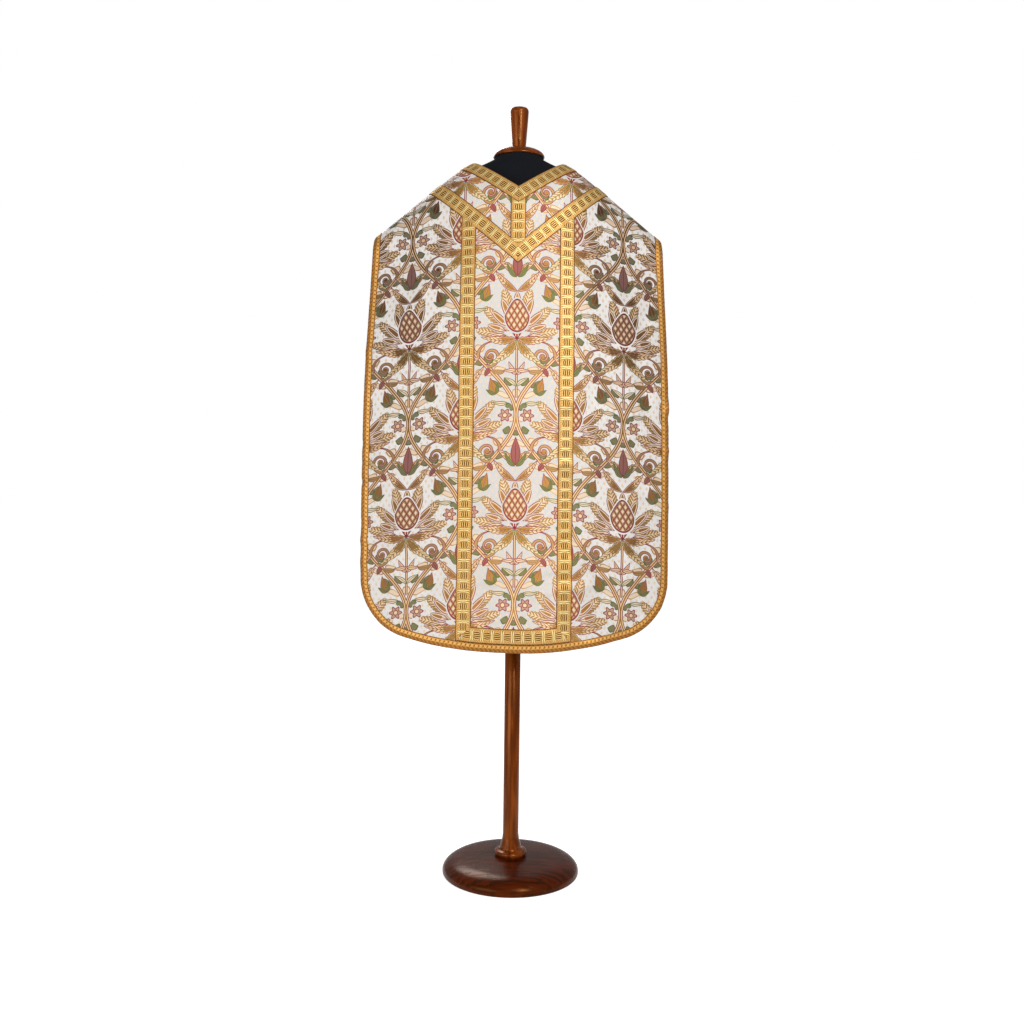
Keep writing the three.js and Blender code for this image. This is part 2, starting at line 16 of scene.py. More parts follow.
import bmesh
import bpy
import numpy as np
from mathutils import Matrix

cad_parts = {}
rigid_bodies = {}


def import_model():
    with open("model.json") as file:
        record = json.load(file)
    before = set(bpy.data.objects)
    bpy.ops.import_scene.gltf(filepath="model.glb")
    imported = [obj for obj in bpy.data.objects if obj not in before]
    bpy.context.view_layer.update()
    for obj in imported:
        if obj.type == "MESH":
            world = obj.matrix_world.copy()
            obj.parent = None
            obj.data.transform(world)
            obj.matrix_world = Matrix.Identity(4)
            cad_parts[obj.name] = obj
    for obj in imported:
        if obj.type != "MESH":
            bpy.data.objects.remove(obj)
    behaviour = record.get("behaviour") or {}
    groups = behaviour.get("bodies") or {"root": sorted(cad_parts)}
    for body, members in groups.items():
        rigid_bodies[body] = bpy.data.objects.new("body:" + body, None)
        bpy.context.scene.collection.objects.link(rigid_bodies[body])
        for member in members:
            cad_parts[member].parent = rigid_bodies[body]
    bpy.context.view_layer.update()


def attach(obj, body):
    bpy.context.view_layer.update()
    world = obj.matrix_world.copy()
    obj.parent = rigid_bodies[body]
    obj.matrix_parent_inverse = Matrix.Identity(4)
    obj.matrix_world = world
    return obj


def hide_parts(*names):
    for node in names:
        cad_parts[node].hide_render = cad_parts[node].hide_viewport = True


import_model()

MM = 0.001

# %% [markdown]
# ## The camera
#
# A long vestment is best seen level, from about its own middle height, so that neither the
# shoulders nor the hem is squeezed. The camera stands 2.4 m away at 0.9 m. It doesn't tilt down
# to take in the wooden foot: the lens shifts instead, as on a studio camera, which keeps upright
# lines upright. The picture leans by less than a degree.

# %% Camera
def placed(name, data):
    """A new object in the scene that holds the data."""
    made = bpy.data.objects.new(name, data)
    bpy.context.scene.collection.objects.link(made)
    return made


camera_data = bpy.data.cameras.new("studio_camera")
camera_data.lens = 38.6
camera_data.sensor_width = 36
camera_data.shift_y = -0.0508
camera = placed("studio_camera", camera_data)
camera.location = (-0.007, -2.4, 0.9)
camera.rotation_euler = (math.radians(90), math.radians(-0.7), 0)
bpy.context.scene.camera = camera
print("camera:", round(camera_data.lens, 1), "mm lens, at", [round(v, 3) for v in camera.location])

# %% [markdown]
# ## How the cloth hangs
#
# Each side of the vestment is one curved sheet. It starts at the shoulder line, rolls over the
# shoulder like a quarter of an ellipse, and then hangs nearly straight. A cloth simulation could
# drape it, but this cloth is interlined and stiff: its shape is in its cut, so formulas from a
# few sizes describe it better and always give the same result. The sizes are the frame's own.

# %% The two sheets
NECK_X, NECK_Z = 0.102, 1.543
SHOULDER_X, SHOULDER_Z = 0.311, 1.380
NECK_EASE = 0.030                         # rounds the corner in the shoulder line at the neck
MIDDLE_EASE = 0.060                       # and the change of the roll in the middle
SEAM_GAP = 0.15 * MM                      # each panel keeps this far from its seams
STEP = 0.4 * MM                           # a small step on the cloth, to find its directions


@dataclass
class Sheet:
    sign: int                # -1 faces forwards, +1 faces back
    neck_reach: float        # how far the roll over the shoulder comes out, in the middle
    neck_fall: float         # and how far it falls there
    corner_reach: float      # the same at the shoulder's end
    corner_fall: float
    hang: float              # depth of the hanging cloth, in the middle
    flare: float             # how much deeper it hangs for each metre further down
    wrap: float              # the radius that it curves back with, round the body
    hem_z: float             # height of the hem, in the middle
    hem_radius: float
    side_x: float            # half the width, at the lower corner
    corner_radius: float
    settle: float = 0.350    # the drop in which it comes to its hanging depth
    side_bow: float = 0.005  # how far the side edge bows outwards


FRONT = Sheet(-1, 0.096, 0.135, 0.028, 0.040, 0.142, 0.009, 0.700, 0.503, 1.020, 0.326, 0.121)
BACK = Sheet(1, 0.088, 0.120, 0.026, 0.040, 0.118, 0.012, 0.900, 0.486, 1.050, 0.337, 0.130)
print("hems:", FRONT.hem_z, "m over the floor in front and", BACK.hem_z, "m at the back")

# %% [markdown]
# A place on a sheet has two numbers: x across the body, and down, the length of cloth below the
# shoulder line. The next functions give the point in space for such a place, and the other way
# round. NumPy lets each of them work on a whole grid of places at once.

# %% The shape of the cloth
def mix(a, b, t):
    return a + (b - a) * t


def smooth(t):
    t = np.clip(t, 0, 1)
    return t * t * (3 - 2 * t)


def eased_past(x):
    """How far x is past the neck, eased so that the shoulder line has no corner there."""
    past = np.abs(x) - NECK_X
    return (past + np.hypot(past, NECK_EASE)) / 2


SLOPE = (NECK_Z - SHOULDER_Z) / (eased_past(SHOULDER_X) - eased_past(NECK_X))


def ridge_height(x):
    """The height of the shoulder line at x."""
    return NECK_Z + SLOPE * (eased_past(NECK_X) - eased_past(x))


def roll_of(sheet, x):
    """How far the roll at x comes out, how far it falls and the length of cloth in it."""
    whole_way = math.hypot(SHOULDER_X, MIDDLE_EASE) - MIDDLE_EASE
    t = (np.hypot(x, MIDDLE_EASE) - MIDDLE_EASE) / whole_way
    reach = mix(sheet.neck_reach, sheet.corner_reach, t)
    fall = mix(sheet.neck_fall, sheet.corner_fall, t)
    return reach, fall, math.pi / 4 * (reach + fall)


def smooth_cloth(sheet, x, down):
    """The point in space of a place on the sheet, before any crease."""
    reach, fall, length = roll_of(sheet, x)
    angle = np.minimum(down / length, 1) * math.pi / 2
    drop = fall * (1 - np.cos(angle)) + np.maximum(down - length, 0)
    z = ridge_height(x) - drop
    hang = sheet.hang + sheet.flare * (SHOULDER_Z - z) - x * x / (2 * sheet.wrap)
    depth = reach * np.sin(angle) + (hang - reach) * smooth(drop / sheet.settle)
    return np.stack([x + 0 * z, sheet.sign * depth, z], -1)


def down_at(sheet, x, z):
    """How far down the cloth the height z is, at x."""
    reach, fall, length = roll_of(sheet, x)
    drop = np.maximum(ridge_height(x) - z, 0)
    rolled = np.arccos(np.clip(1 - drop / fall, -1, 1)) / (math.pi / 2) * length
    return np.where(drop >= fall, length + drop - fall, rolled)


print("the shoulder line falls", round(float(SLOPE), 3), "m for each metre across")

# %% [markdown]
# ## Creases
#
# Interlined brocade doesn't fold, but it shows where it was folded away, where it pulls at a
# seam and where it hangs slack. Each large crease is a soft ridge or trough, listed one by one: a
# place, a length, a lean from the level, a width and a height. Noise would be quicker, but its
# bumps are the same everywhere, and real creases have places of their own.

# %% Creases listed one by one
# x, z, length, lean, width and height, in millimetres and degrees
FRONT_CREASES = [
    (0, 1180, 150, 4, 44, -2.7),
    (-52, 1040, 180, -6, 34, 2.4),
    (60, 985, 160, 8, 30, -2.2),
    (-20, 820, 200, 3, 32, 2.5),
    (35, 735, 170, -5, 28, -2.4),
    (-60, 650, 150, 10, 30, 2.2),
    (64, 612, 140, -12, 26, 2.0),
    (-205, 1240, 210, 62, 40, 4.1),
    (215, 1225, 190, -58, 38, 3.6),
    (-262, 1105, 240, 80, 34, -3.9),
    (268, 1060, 260, -82, 32, -3.4),
    (-190, 930, 170, 12, 38, -3.1),
    (200, 900, 190, -9, 40, 2.9),
    (-240, 760, 300, 84, 44, 5.1),
    (236, 720, 280, -86, 44, 4.8),
    (-170, 640, 180, 72, 34, -4.1),
    (176, 660, 200, -76, 32, -3.7),
    (-286, 900, 120, 60, 26, 2.7),
    (290, 840, 130, -64, 28, 3.1),
    (-95, 1395, 90, 34, 20, 1.5),
    (80, 1402, 80, -32, 20, 1.4),
]
BACK_CREASES = [
    (10, 1230, 180, -5, 44, -3.1),
    (-48, 1090, 160, 7, 34, 2.5),
    (55, 900, 200, -8, 38, 2.7),
    (-30, 700, 190, 5, 32, -2.7),
    (48, 600, 150, -10, 30, 2.4),
    (-210, 1230, 220, 60, 40, 3.7),
    (220, 1210, 200, -62, 40, 4.1),
    (-270, 1020, 260, 82, 36, -3.7),
    (276, 990, 240, -80, 34, -3.6),
    (-235, 740, 310, 85, 46, 5.3),
    (242, 700, 290, -84, 44, 4.9),
    (-175, 640, 190, 74, 32, -3.9),
    (182, 620, 180, -72, 34, -4.1),
    (0, 1440, 120, 2, 30, -2.0),
]
print("creases laid by hand:", len(FRONT_CREASES), "in front,", len(BACK_CREASES), "at the back")

# %% [markdown]
# Beside the braids the cloth also puckers, because thread, braid and silk shrink differently,
# and the whole sheet has long faint ripples, most of them low down. These small ones are too
# many to lay by hand. They are scattered at random with fixed seeds, so each run is the same.

# %% Scattered puckers and ripples
def puckers(seams_x, count, seed):
    """Short level puckers on both sides of the upright seams, as rows of the crease tables."""
    draw = np.random.default_rng(seed)
    rows = []
    for _ in range(count):
        seam = draw.choice(seams_x) * draw.choice((-1, 1))
        away = draw.choice((-1, 1)) * draw.uniform(20, 60)
        rows.append((
            seam + away, draw.uniform(540, 1290), draw.uniform(26, 62), draw.normal(0, 9),
            draw.uniform(11, 20), draw.choice((-1, 1)) * draw.uniform(1.4, 3.2),
        ))
    return rows


def ripples(count, seed):
    """Long faint level ripples, most of them low down."""
    draw = np.random.default_rng(seed)
    return [(
        draw.uniform(-290, 290), 520 + 720 * draw.random() ** 1.3, draw.uniform(80, 220),
        draw.normal(0, 7), draw.uniform(18, 36), draw.choice((-1, 1)) * draw.uniform(1.8, 4.2),
    ) for _ in range(count)]


CREASES = {
    -1: np.array(FRONT_CREASES + puckers((103, 300), 130, 11) + ripples(56, 21)),
    1: np.array(BACK_CREASES + puckers((124, 305), 120, 12) + ripples(56, 22)),
}
print("all creases:", len(CREASES[-1]), "in front,", len(CREASES[1]), "at the back")

# %% [markdown]
# Now the creases can lift the cloth. Each is a bell across its width and fades out at its ends.
# The hem swings in slow waves as well, which die out upwards. The lift goes straight out of the
# cloth, along its normal, and a braid asks for the same lift so that it follows every crease.

# %% The creased cloth
SWING_TOP = 0.85                          # metres over the floor: where the waves of the hem start
SWING_GROWS = 0.35                        # in this many metres they grow to their full height
SWING_HEIGHT = 4.5 * MM
CALM_SHOULDER = 0.06                      # creases fade within this of the shoulder line


def crease_height(sheet, x, z):
    """How far the creases lift the cloth at x and height z."""
    total = 0 * z
    for cx, cz, length, lean, width, height in CREASES[sheet.sign]:
        turn = math.radians(lean)
        dx, dz = x - cx * MM, z - cz * MM
        along = (dx * math.cos(turn) + dz * math.sin(turn)) / (length / 2 * MM)
        across = (dz * math.cos(turn) - dx * math.sin(turn)) / (width / 2 * MM)
        total += height * MM * np.clip(1 - along**2, 0, 1) ** 2 * np.exp(-across**2)
    swing = np.clip((SWING_TOP - z) / SWING_GROWS, 0, 1) ** 2
    uneven = x / 0.047 + 0.8 * sheet.sign + np.sin(x / 0.11)
    return total + swing * SWING_HEIGHT * np.sin(uneven)


def on_cloth(sheet, x, down, lift=0.0):
    """The point at lift above the creased cloth."""
    x, down = np.broadcast_arrays(x, down)
    middle = smooth_cloth(sheet, x, down)
    across = smooth_cloth(sheet, x + STEP, down) - smooth_cloth(sheet, x - STEP, down)
    along = smooth_cloth(sheet, x, down + STEP) - smooth_cloth(sheet, x, np.maximum(down - STEP, 0))
    normal = np.cross(across, along) * sheet.sign
    normal /= np.linalg.norm(normal, axis=-1, keepdims=True)
    calm = smooth(down / CALM_SHOULDER)
    height = crease_height(sheet, middle[..., 0], middle[..., 2]) * calm + lift
    return middle + normal * np.asarray(height)[..., None]


heights = np.linspace(FRONT.hem_z, SHOULDER_Z, 500)
lifts = crease_height(FRONT, 0 * heights, heights) / MM
print(f"creases down the middle of the front: {lifts.min():.1f} to {lifts.max():.1f} mm")

# %% [markdown]
# ## From a grid of places to a mesh
#
# Cloth is cut flat and then hung, and the meshes are made the same way: a grid of flat places is
# lifted onto the sheet. Each vertex keeps its flat place as an attribute called flat, in
# metres, with the grain of the cloth upright. The woven pattern is drawn from it later, so it
# runs over a shoulder as the threads do and needs no unwrapping. Its third number says front or
# back on a panel, so that the two don't have the same slubs, and the relief on a braid.

# %% Meshes from grids
def grid_faces(rows, columns):
    """The quads of a grid of rows x columns points."""
    first = (np.arange(rows - 1)[:, None] * columns + np.arange(columns - 1)).ravel()
    return np.stack([first, first + 1, first + columns + 1, first + columns], 1)


def new_object(name, points, faces, **attributes):
    """A smooth mesh object riding on the frame, with an attribute vector for each vertex."""
    mesh = bpy.data.meshes.new(name)
    mesh.from_pydata(points.reshape(-1, 3).tolist(), [], faces)
    for key, values in attributes.items():
        layer = mesh.attributes.new(key, "FLOAT_VECTOR", "POINT")
        layer.data.foreach_set("vector", np.asarray(values, np.float32).ravel())
    mesh.shade_smooth()
    piece = placed(name, mesh)
    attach(piece, "root")
    return piece


print("a grid of 3 x 4 points has", len(grid_faces(3, 4)), "faces")

# %% A panel from its flat places
CLOTH_THICKNESS = 2.2 * MM
panels = {}
print("brocade with its interlining:", CLOTH_THICKNESS / MM, "mm thick")


def panel(node, sheet, x, down, hand=1):
    """A panel of brocade from grids of x and down, with its thickness on the inside."""
    if hand < 0:
        x, down = -x[:, ::-1], down[:, ::-1]
    points = on_cloth(sheet, x, down)
    upright = -(down + NECK_Z - ridge_height(x))
    faces = grid_faces(*x.shape)
    if sheet.sign < 0:
        faces = faces[:, ::-1]
    side = sheet.sign * np.ones_like(x)
    flat = np.stack([x, upright, side], -1)
    piece = new_object(f"{node}_cloth", points, faces.tolist(), flat=flat)
    wall = piece.modifiers.new("interlining", "SOLIDIFY")
    wall.thickness = CLOTH_THICKNESS
    wall.offset = -1
    wall.use_rim = True
    wall.material_offset = 1
    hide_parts(node)
    panels[node] = piece


def coons(top, bottom, left, right, rows, columns):
    """A smooth grid of places inside four border lines, known as a Coons patch."""
    u = np.linspace(0, 1, columns)[None, :]
    v = np.linspace(0, 1, rows)[:, None]
    t, b, l, r = (np.array(line(w)) for line, w in ((top, u), (bottom, u), (left, v), (right, v)))
    corners = [np.array(line(np.array([[e]]))) for line in (top, bottom) for e in (0.0, 1.0)]
    flat = mix(mix(corners[0], corners[1], u), mix(corners[2], corners[3], u), v)
    x, down = mix(t, b, v) + mix(l, r, u) - flat
    return x, np.maximum(down, SEAM_GAP)


# %% [markdown]
# ## The lines of the cut
#
# The chevrons and the front neckline are straight lines as seen from in front, from a height in
# the middle up to the shoulder line, and the back neckline is a parabola. They place the seams
# and the braids over them, so they are written once and shared.

# %% Lines
@dataclass
class Line:
    z: float          # its height in the middle
    x: float          # where it meets the shoulder line
    power: float = 1  # 1 is a chevron, 2 is a parabola

    def height(self, x):
        rise = ridge_height(self.x) - self.z
        return self.z + rise * (np.abs(x) / self.x) ** self.power

    def place(self, sheet, x):
        return x, down_at(sheet, x, self.height(x))


NECKLINE = Line(1.477, NECK_X)
NECK_BRAID_EDGE = Line(1.439, 0.125)
CHEVRON_TOP = Line(1.347, 0.172)
CHEVRON_SEAM = Line(1.3285, 0.182)
CHEVRON_FOOT = Line(1.310, 0.193)
BACK_NECKLINE = Line(1.512, NECK_X, 2)
BACK_NECK_BRAID_EDGE = Line(1.480, 0.125, 2)
FRONT_SEAM_X = 0.103
BACK_SEAM_X = 0.124
BRAID_WIDTH = 0.032
EDGE_WIDTH = 0.017
print("the chevron's point is", round(NECKLINE.z - CHEVRON_SEAM.z, 4), "m under the neckline's")

# %% [markdown]
# The outside of a sheet is a side that leans a little, a round corner and a wide arc for the
# hem. The outline is walked by length, so that places along it stay evenly spaced. It can be
# moved inwards, which gives the middle line of the narrow braid.

# %% Outline
@dataclass
class Outline:
    """The outside line of a sheet, moved inwards by inset."""
    sheet: Sheet
    inset: float = 0.0

    def __post_init__(self):
        s = self.sheet
        self.radius = s.corner_radius - self.inset
        self.corner_x = s.side_x - s.corner_radius
        self.centre_z = s.hem_z + s.hem_radius
        reach = s.hem_radius - s.corner_radius
        self.corner_z = self.centre_z - math.sqrt(reach**2 - self.corner_x**2)
        self.tangent = math.acos(self.corner_x / reach)
        self.side_length = float(down_at(s, s.side_x, self.corner_z))

    def hem_height(self, x):
        return self.centre_z - np.sqrt((self.sheet.hem_radius - self.inset) ** 2 - x * x)

    def on_corner(self, angle):
        x = self.corner_x + self.radius * np.cos(angle)
        return x, down_at(self.sheet, x, self.corner_z - self.radius * np.sin(angle))

    def side(self, t):
        """Down the side to the middle of the corner, for t from 0 to 1."""
        s = self.sheet
        along = t * (self.side_length + self.radius * math.pi / 4)
        part = np.minimum(along / self.side_length, 1)
        x = mix(SHOULDER_X, s.side_x, part) + s.side_bow * np.sin(math.pi * part) - self.inset
        cx, cdown = self.on_corner(np.maximum(along - self.side_length, 0) / self.radius)
        round_it = along > self.side_length
        return np.where(round_it, cx, x), np.where(round_it, cdown, np.maximum(along, SEAM_GAP))

    def hem(self, start_x, t):
        """Along the hem from start_x to the middle of the corner."""
        end_x = (self.sheet.hem_radius - self.inset) * math.cos(self.tangent)
        straight = end_x - start_x
        bend = (self.tangent - math.pi / 4) * self.radius
        along = t * (straight + bend)
        x = start_x + np.minimum(along, straight)
        cx, cdown = self.on_corner(self.tangent - np.maximum(along - straight, 0) / self.radius)
        down = down_at(self.sheet, x, self.hem_height(x))
        return np.where(along > straight, cx, x), np.where(along > straight, cdown, down)


print("side edges:", round(Outline(FRONT).side_length, 3), round(Outline(BACK).side_length, 3), "m")

# %% [markdown]
# ## The panels
#
# Eight panels make the vestment: a straight centre panel and two sides in front, two yokes over
# the chevron, and the same without yokes at the back. Each is a fine grid between its seams. A
# Solidify modifier gives it its interlining, and gives the inner faces the second material, the
# dull reverse of the weave. A left panel is its right one mirrored.

# %% Centre panels
CELL = 4 * MM


def cells(length):
    """How many points a grid needs along a length."""
    return int(round(length / CELL)) + 1


def front_top(x):
    """The height of the chevron seam, and of the shoulder line beyond its end."""
    return np.minimum(CHEVRON_SEAM.height(x), ridge_height(x))


def back_top(x):
    return np.where(np.abs(x) < NECK_X, BACK_NECKLINE.height(x), ridge_height(x))


def seam_foot(sheet, x):
    """How far down the hem is, at x."""
    return down_at(sheet, x, Outline(sheet).hem_height(x))


def centre_panel(node, sheet, top_height, seam_x):
    reach = seam_x - SEAM_GAP
    x = np.linspace(-reach, reach, cells(2 * reach))[None, :]
    top = np.maximum(down_at(sheet, x, top_height(x)), SEAM_GAP)
    v = np.linspace(0, 1, cells(0.95))[:, None]
    panel(node, sheet, x + 0 * v, mix(top, seam_foot(sheet, x), v))


centre_panel("front_centre", FRONT, front_top, FRONT_SEAM_X)
centre_panel("back_centre", BACK, back_top, BACK_SEAM_X)
print("faces of the centre panels:", {node: len(p.data.polygons) for node, p in panels.items()})

# %% Side panels and yokes
def side_panel(node, sheet, top_height, seam_x, hand):
    outside = Outline(sheet)
    start = seam_x + SEAM_GAP

    def top(u):
        x = mix(start, SHOULDER_X, u)
        return x, np.maximum(down_at(sheet, x, top_height(x)), SEAM_GAP)

    top_down = float(top(np.array(0.0))[1])
    x, down = coons(
        top, lambda u: outside.hem(start, u),
        lambda v: (start + 0 * v, mix(top_down, seam_foot(sheet, start), v)), outside.side,
        cells(0.97), cells(0.21))
    panel(node, sheet, x, down, hand)


def yoke_panel(node, hand):
    def border(line, gap):
        def run(u):
            x, down = line.place(FRONT, mix(SEAM_GAP, line.x, u))
            return x, down + gap
        return run

    top, bottom = border(NECKLINE, 0), border(CHEVRON_SEAM, -2 * SEAM_GAP)
    top_down, bottom_down = (float(run(np.array(0.0))[1]) for run in (top, bottom))
    x, down = coons(
        top, bottom,
        lambda v: (SEAM_GAP + 0 * v, mix(top_down, bottom_down, v)),
        lambda v: (mix(NECKLINE.x, CHEVRON_SEAM.x, v), SEAM_GAP + 0 * v),
        cells(0.15), cells(0.24))
    panel(node, FRONT, x, down, hand)


HANDS = {"right": 1, "left": -1}
for word, hand in HANDS.items():
    side_panel(f"front_side_{word}", FRONT, front_top, FRONT_SEAM_X, hand)
    side_panel(f"back_side_{word}", BACK, back_top, BACK_SEAM_X, hand)
    yoke_panel(f"yoke_{word}", hand)
print("panels:", len(panels), "faces:", sum(len(p.data.polygons) for p in panels.values()))

# %% [markdown]
# ## Maths that works on numbers and on nodes
#
# A shader's pattern can be painted as an image or worked out by Math nodes. Nodes stay sharp at
# any distance, but wiring hundreds by hand is hopeless. So the class below wraps a socket: an
# ordinary formula written on it adds the nodes. The functions after it take plain numbers too,
# and so one drawing can both raise a braid's threads in the mesh and colour them in the shader.

# %% A socket that does sums
def connect(tree, value, slot):
    """Wires a thread or a socket to a slot, or sets the slot to a plain value."""
    if isinstance(value, Thread):
        value = value.socket
    if isinstance(value, bpy.types.NodeSocket):
        tree.links.new(value, slot)
    else:
        slot.default_value = value


def adds_node(operation, swapped=False):
    """What a sign such as + does to a thread: it adds one Math node."""
    def method(self, other):
        return self.node(operation, *((other, self) if swapped else (self, other)))
    return method


class Thread:
    """A number, vector or colour on its way through a node tree."""

    def __init__(self, tree, socket):
        self.tree = tree
        self.socket = socket

    def node(self, operation, *values, clamp=False):
        made = self.tree.nodes.new("ShaderNodeMath")
        made.operation = operation
        made.use_clamp = clamp
        for slot, value in zip(made.inputs, values):
            connect(self.tree, value, slot)
        return Thread(self.tree, made.outputs[0])

    __add__ = __radd__ = adds_node("ADD")
    __mul__ = __rmul__ = adds_node("MULTIPLY")
    __sub__ = adds_node("SUBTRACT")
    __rsub__ = adds_node("SUBTRACT", swapped=True)
    __truediv__ = adds_node("DIVIDE")


# %% Formulas for threads and numbers
def either(operation, formula, **extra):
    """A function for threads and for plain numbers alike."""
    def apply(*values):
        threads = [v for v in values if isinstance(v, Thread)]
        if threads:
            return threads[0].node(operation, *values, **extra)
        return formula(*values)
    return apply


root = either("SQRT", np.sqrt)
size = either("ABSOLUTE", np.abs)
sine = either("SINE", np.sin)
cosine = either("COSINE", np.cos)
turn_of = either("ARCTAN2", np.arctan2)
smaller = either("MINIMUM", np.minimum)
larger = either("MAXIMUM", np.maximum)
above = either("GREATER_THAN", np.greater)
part = either("FRACT", lambda a: a - np.floor(a))
whole = either("FLOOR", np.floor)
logarithm = either("LOGARITHM", lambda a, base: np.log(a) / math.log(base))
soft_step = either("MULTIPLY_ADD", lambda a, b, c: np.clip(a * b + c, 0, 1), clamp=True)


def distance(x, y):
    return root(x * x + y * y)


def clip(a):
    """Kept between 0 and 1."""
    return soft_step(a, 1.0, 0.0)


def edge(depth, softness=0.5):
    """1 well inside a shape and 0 well outside, from the depth inside its edge."""
    return soft_step(depth, 1 / softness, 0.5)


print("edge() at depths -1, 0 and 1:", [float(edge(depth)) for depth in (-1, 0, 1)])


# %% [markdown]
# ## The braids
#
# Galloon is woven in narrow looms as one long ribbon. It is cut to length, mitred at corners and
# sewn over the seams. Two ribbons are used: a wide one for chevrons and columns, and a narrow
# one that rolls over the outside edge.
#
# The wide one repeats every 21 mm. Four dark slits lie between gold ribs, and all of them bow
# inwards to their ends. Then come bright threads that cross from side to side and spread like
# two fans, and both borders are ribbed. The mesh has its rows and columns just where that
# relief changes, which costs far fewer faces than an even grid.

# %% The relief of the wide braid
REPEAT = 21.0
SLITS_AT, FAN_AT = 6.4, 16.9              # the middles of slits and fan, along one repeat
RIB_STEP = 4.0
BORDER_STEP = 3.5


def braid_parts(along, across):
    """The parts of the wide braid's weave, from millimetres along and across it."""
    place = part(along / REPEAT) * REPEAT
    off = size(across)
    from_slits = place - SLITS_AT
    bowed = across * (1 + from_slits * from_slits * 0.007)
    in_slits = edge(6.9 - size(from_slits) - off * off * 0.03, 0.8)
    middle = edge(8.2 - size(bowed), 0.8)
    rib = size(part(bowed / RIB_STEP + 0.5) - 0.5) * RIB_STEP  # 0 in a rib's middle, 2 in a slit
    slit = edge(rib - 0.85, 0.4) * in_slits * middle
    from_fan = size(place - FAN_AT)
    fan = edge(1.7 + off * 0.38 - from_fan, 0.9) * edge(11.8 - off, 0.8)
    ray = size(part(from_fan / (2.0 + off * 0.24) + 0.5) - 0.5) * 2
    border = edge(off - 8.9, 0.8)
    tick = size(part(along / BORDER_STEP + off * 0.2) - 0.5) * 2
    return slit, rib, middle * in_slits, fan, ray, border, tick


def braid_height(along, across):
    """How far each thread of the wide braid stands up, in millimetres."""
    slit, rib, ribs, fan, ray, border = braid_parts(along, across)[:6]
    height = 0.6 + ribs * (0.35 - rib * 0.25) - slit * 0.25
    height = height + fan * (0.35 + ray * 0.2) + border * 0.12
    return height * (1 - edge(size(across) - 15.6, 0.5) * 0.75)


@dataclass
class Braid:
    across: np.ndarray       # the mesh's places across it, in millimetres
    along: np.ndarray        # and along one repeat
    repeat: float
    height: object           # its relief: a function of along and across
    rolls: bool = False      # whether its outer edge rolls round the cloth


half_across = np.array([
    -16, -15.6, -14.8, -13.4, -12, -10.6, -9.2, -8, -6.8, -6, -5.2, -4, -2.8, -2, -1.2, 0])
WIDE = Braid(
    np.concatenate([half_across, -half_across[-2::-1]]),
    np.array([0, 0.6, 3, SLITS_AT, 9.8, 12.2, 12.9, 14, 15, 16, FAN_AT, 17.8, 18.8, 19.8]),
    REPEAT, braid_height)
print("wide braid:", len(WIDE.across), "x", len(WIDE.along), "points in each repeat")

# %% [markdown]
# The narrow braid has a row of bright blocks on its inner half. Its outer half is twisted like a
# rope and rolls round the raw edge of the cloth, so the ribbon bends down past the edge.

# %% The relief of the narrow braid
EDGE_REPEAT = 9.0
BLOCK_AT = EDGE_REPEAT / 2


def edge_braid_parts(along, across):
    """The blocks and rope of the narrow braid; across runs from -8.5 at the outside to 8.5."""
    place = part(along / EDGE_REPEAT + across * 0.05) * EDGE_REPEAT
    from_block = size(place - BLOCK_AT)
    block = edge(2.9 - from_block, 0.8) * edge(3.2 - size(across - 3.0), 0.8)
    rope = cosine((along - across * 0.9) * (2 * math.pi / EDGE_REPEAT)) * 0.5 + 0.5
    return block, rope, from_block


def edge_braid_height(along, across):
    block, rope, from_block = edge_braid_parts(along, across)
    height = 0.5 + block * (0.4 - from_block * 0.06) + (1 - block) * rope * 0.3
    return height * (1 - edge(across - 8.1, 0.5) * 0.7)


NARROW = Braid(
    np.array([
        -8.5, -7.8, -7, -5.8, -4.6, -3.4, -2.2, -1, 0, 1.2, 2.3, 3.4, 4.5, 5.6, 6.7, 7.6, 8.5]),
    np.array([0, 1.1, 1.9, 3.2, BLOCK_AT, 5.8, 7.1, 7.9]), EDGE_REPEAT, edge_braid_height,
    rolls=True)
print("narrow braid:", len(NARROW.across), "x", len(NARROW.along), "points in each repeat")

# %% [markdown]
# ## Sewing a ribbon down
#
# A ribbon follows a line on the sheet. At every station along it, the surface gives the
# direction straight across the ribbon, and the grid's points go out along that. A curve with a
# bevel would be quicker, but it twists on a rounded shoulder and can't follow the creases.

# %% Places along and across a ribbon
def stations(length, braid):
    """Places along a ribbon in metres, from the places in one repeat."""
    starts = np.arange(-1, math.ceil(length / (braid.repeat * MM)) + 1) * braid.repeat
    places = (starts[:, None] + braid.along[None, :]).ravel() * MM
    inside = places[(places > 0) & (places < length)]
    return np.concatenate([[0], inside, [length]])


def cross_places(sheet, x, down, direction, across):
    """The places at distances across a ribbon from its centre places, at right angles to it."""
    point = smooth_cloth(sheet, x, down)
    by_x = (smooth_cloth(sheet, x + STEP, down) - point) / STEP
    by_down = (smooth_cloth(sheet, x, down + STEP) - point) / STEP
    normal = np.cross(by_x, by_down)
    aside = np.cross(normal, direction)
    aside /= np.linalg.norm(aside, axis=-1, keepdims=True)
    # solve by_x * a + by_down * b = aside in the plane of the cloth
    xx, dd = (by_x * by_x).sum(-1), (by_down * by_down).sum(-1)
    xd = (by_x * by_down).sum(-1)
    xa, da = (by_x * aside).sum(-1), (by_down * aside).sum(-1)
    determinant = xx * dd - xd * xd
    a, b = (xa * dd - da * xd) / determinant, (da * xx - xa * xd) / determinant
    return x[:, None] + a[:, None] * across, down[:, None] + b[:, None] * across


print("rows on 100 mm of wide braid:", len(stations(0.1, WIDE)))

# %% [markdown]
# Where a braid ends in a mitre, points past the cut slide back to it, so the cut is clean and
# the pattern simply stops there, as it does under scissors. The narrow braid has no cut along
# it: its outer edge bends inwards instead, past the raw edge of the cloth.

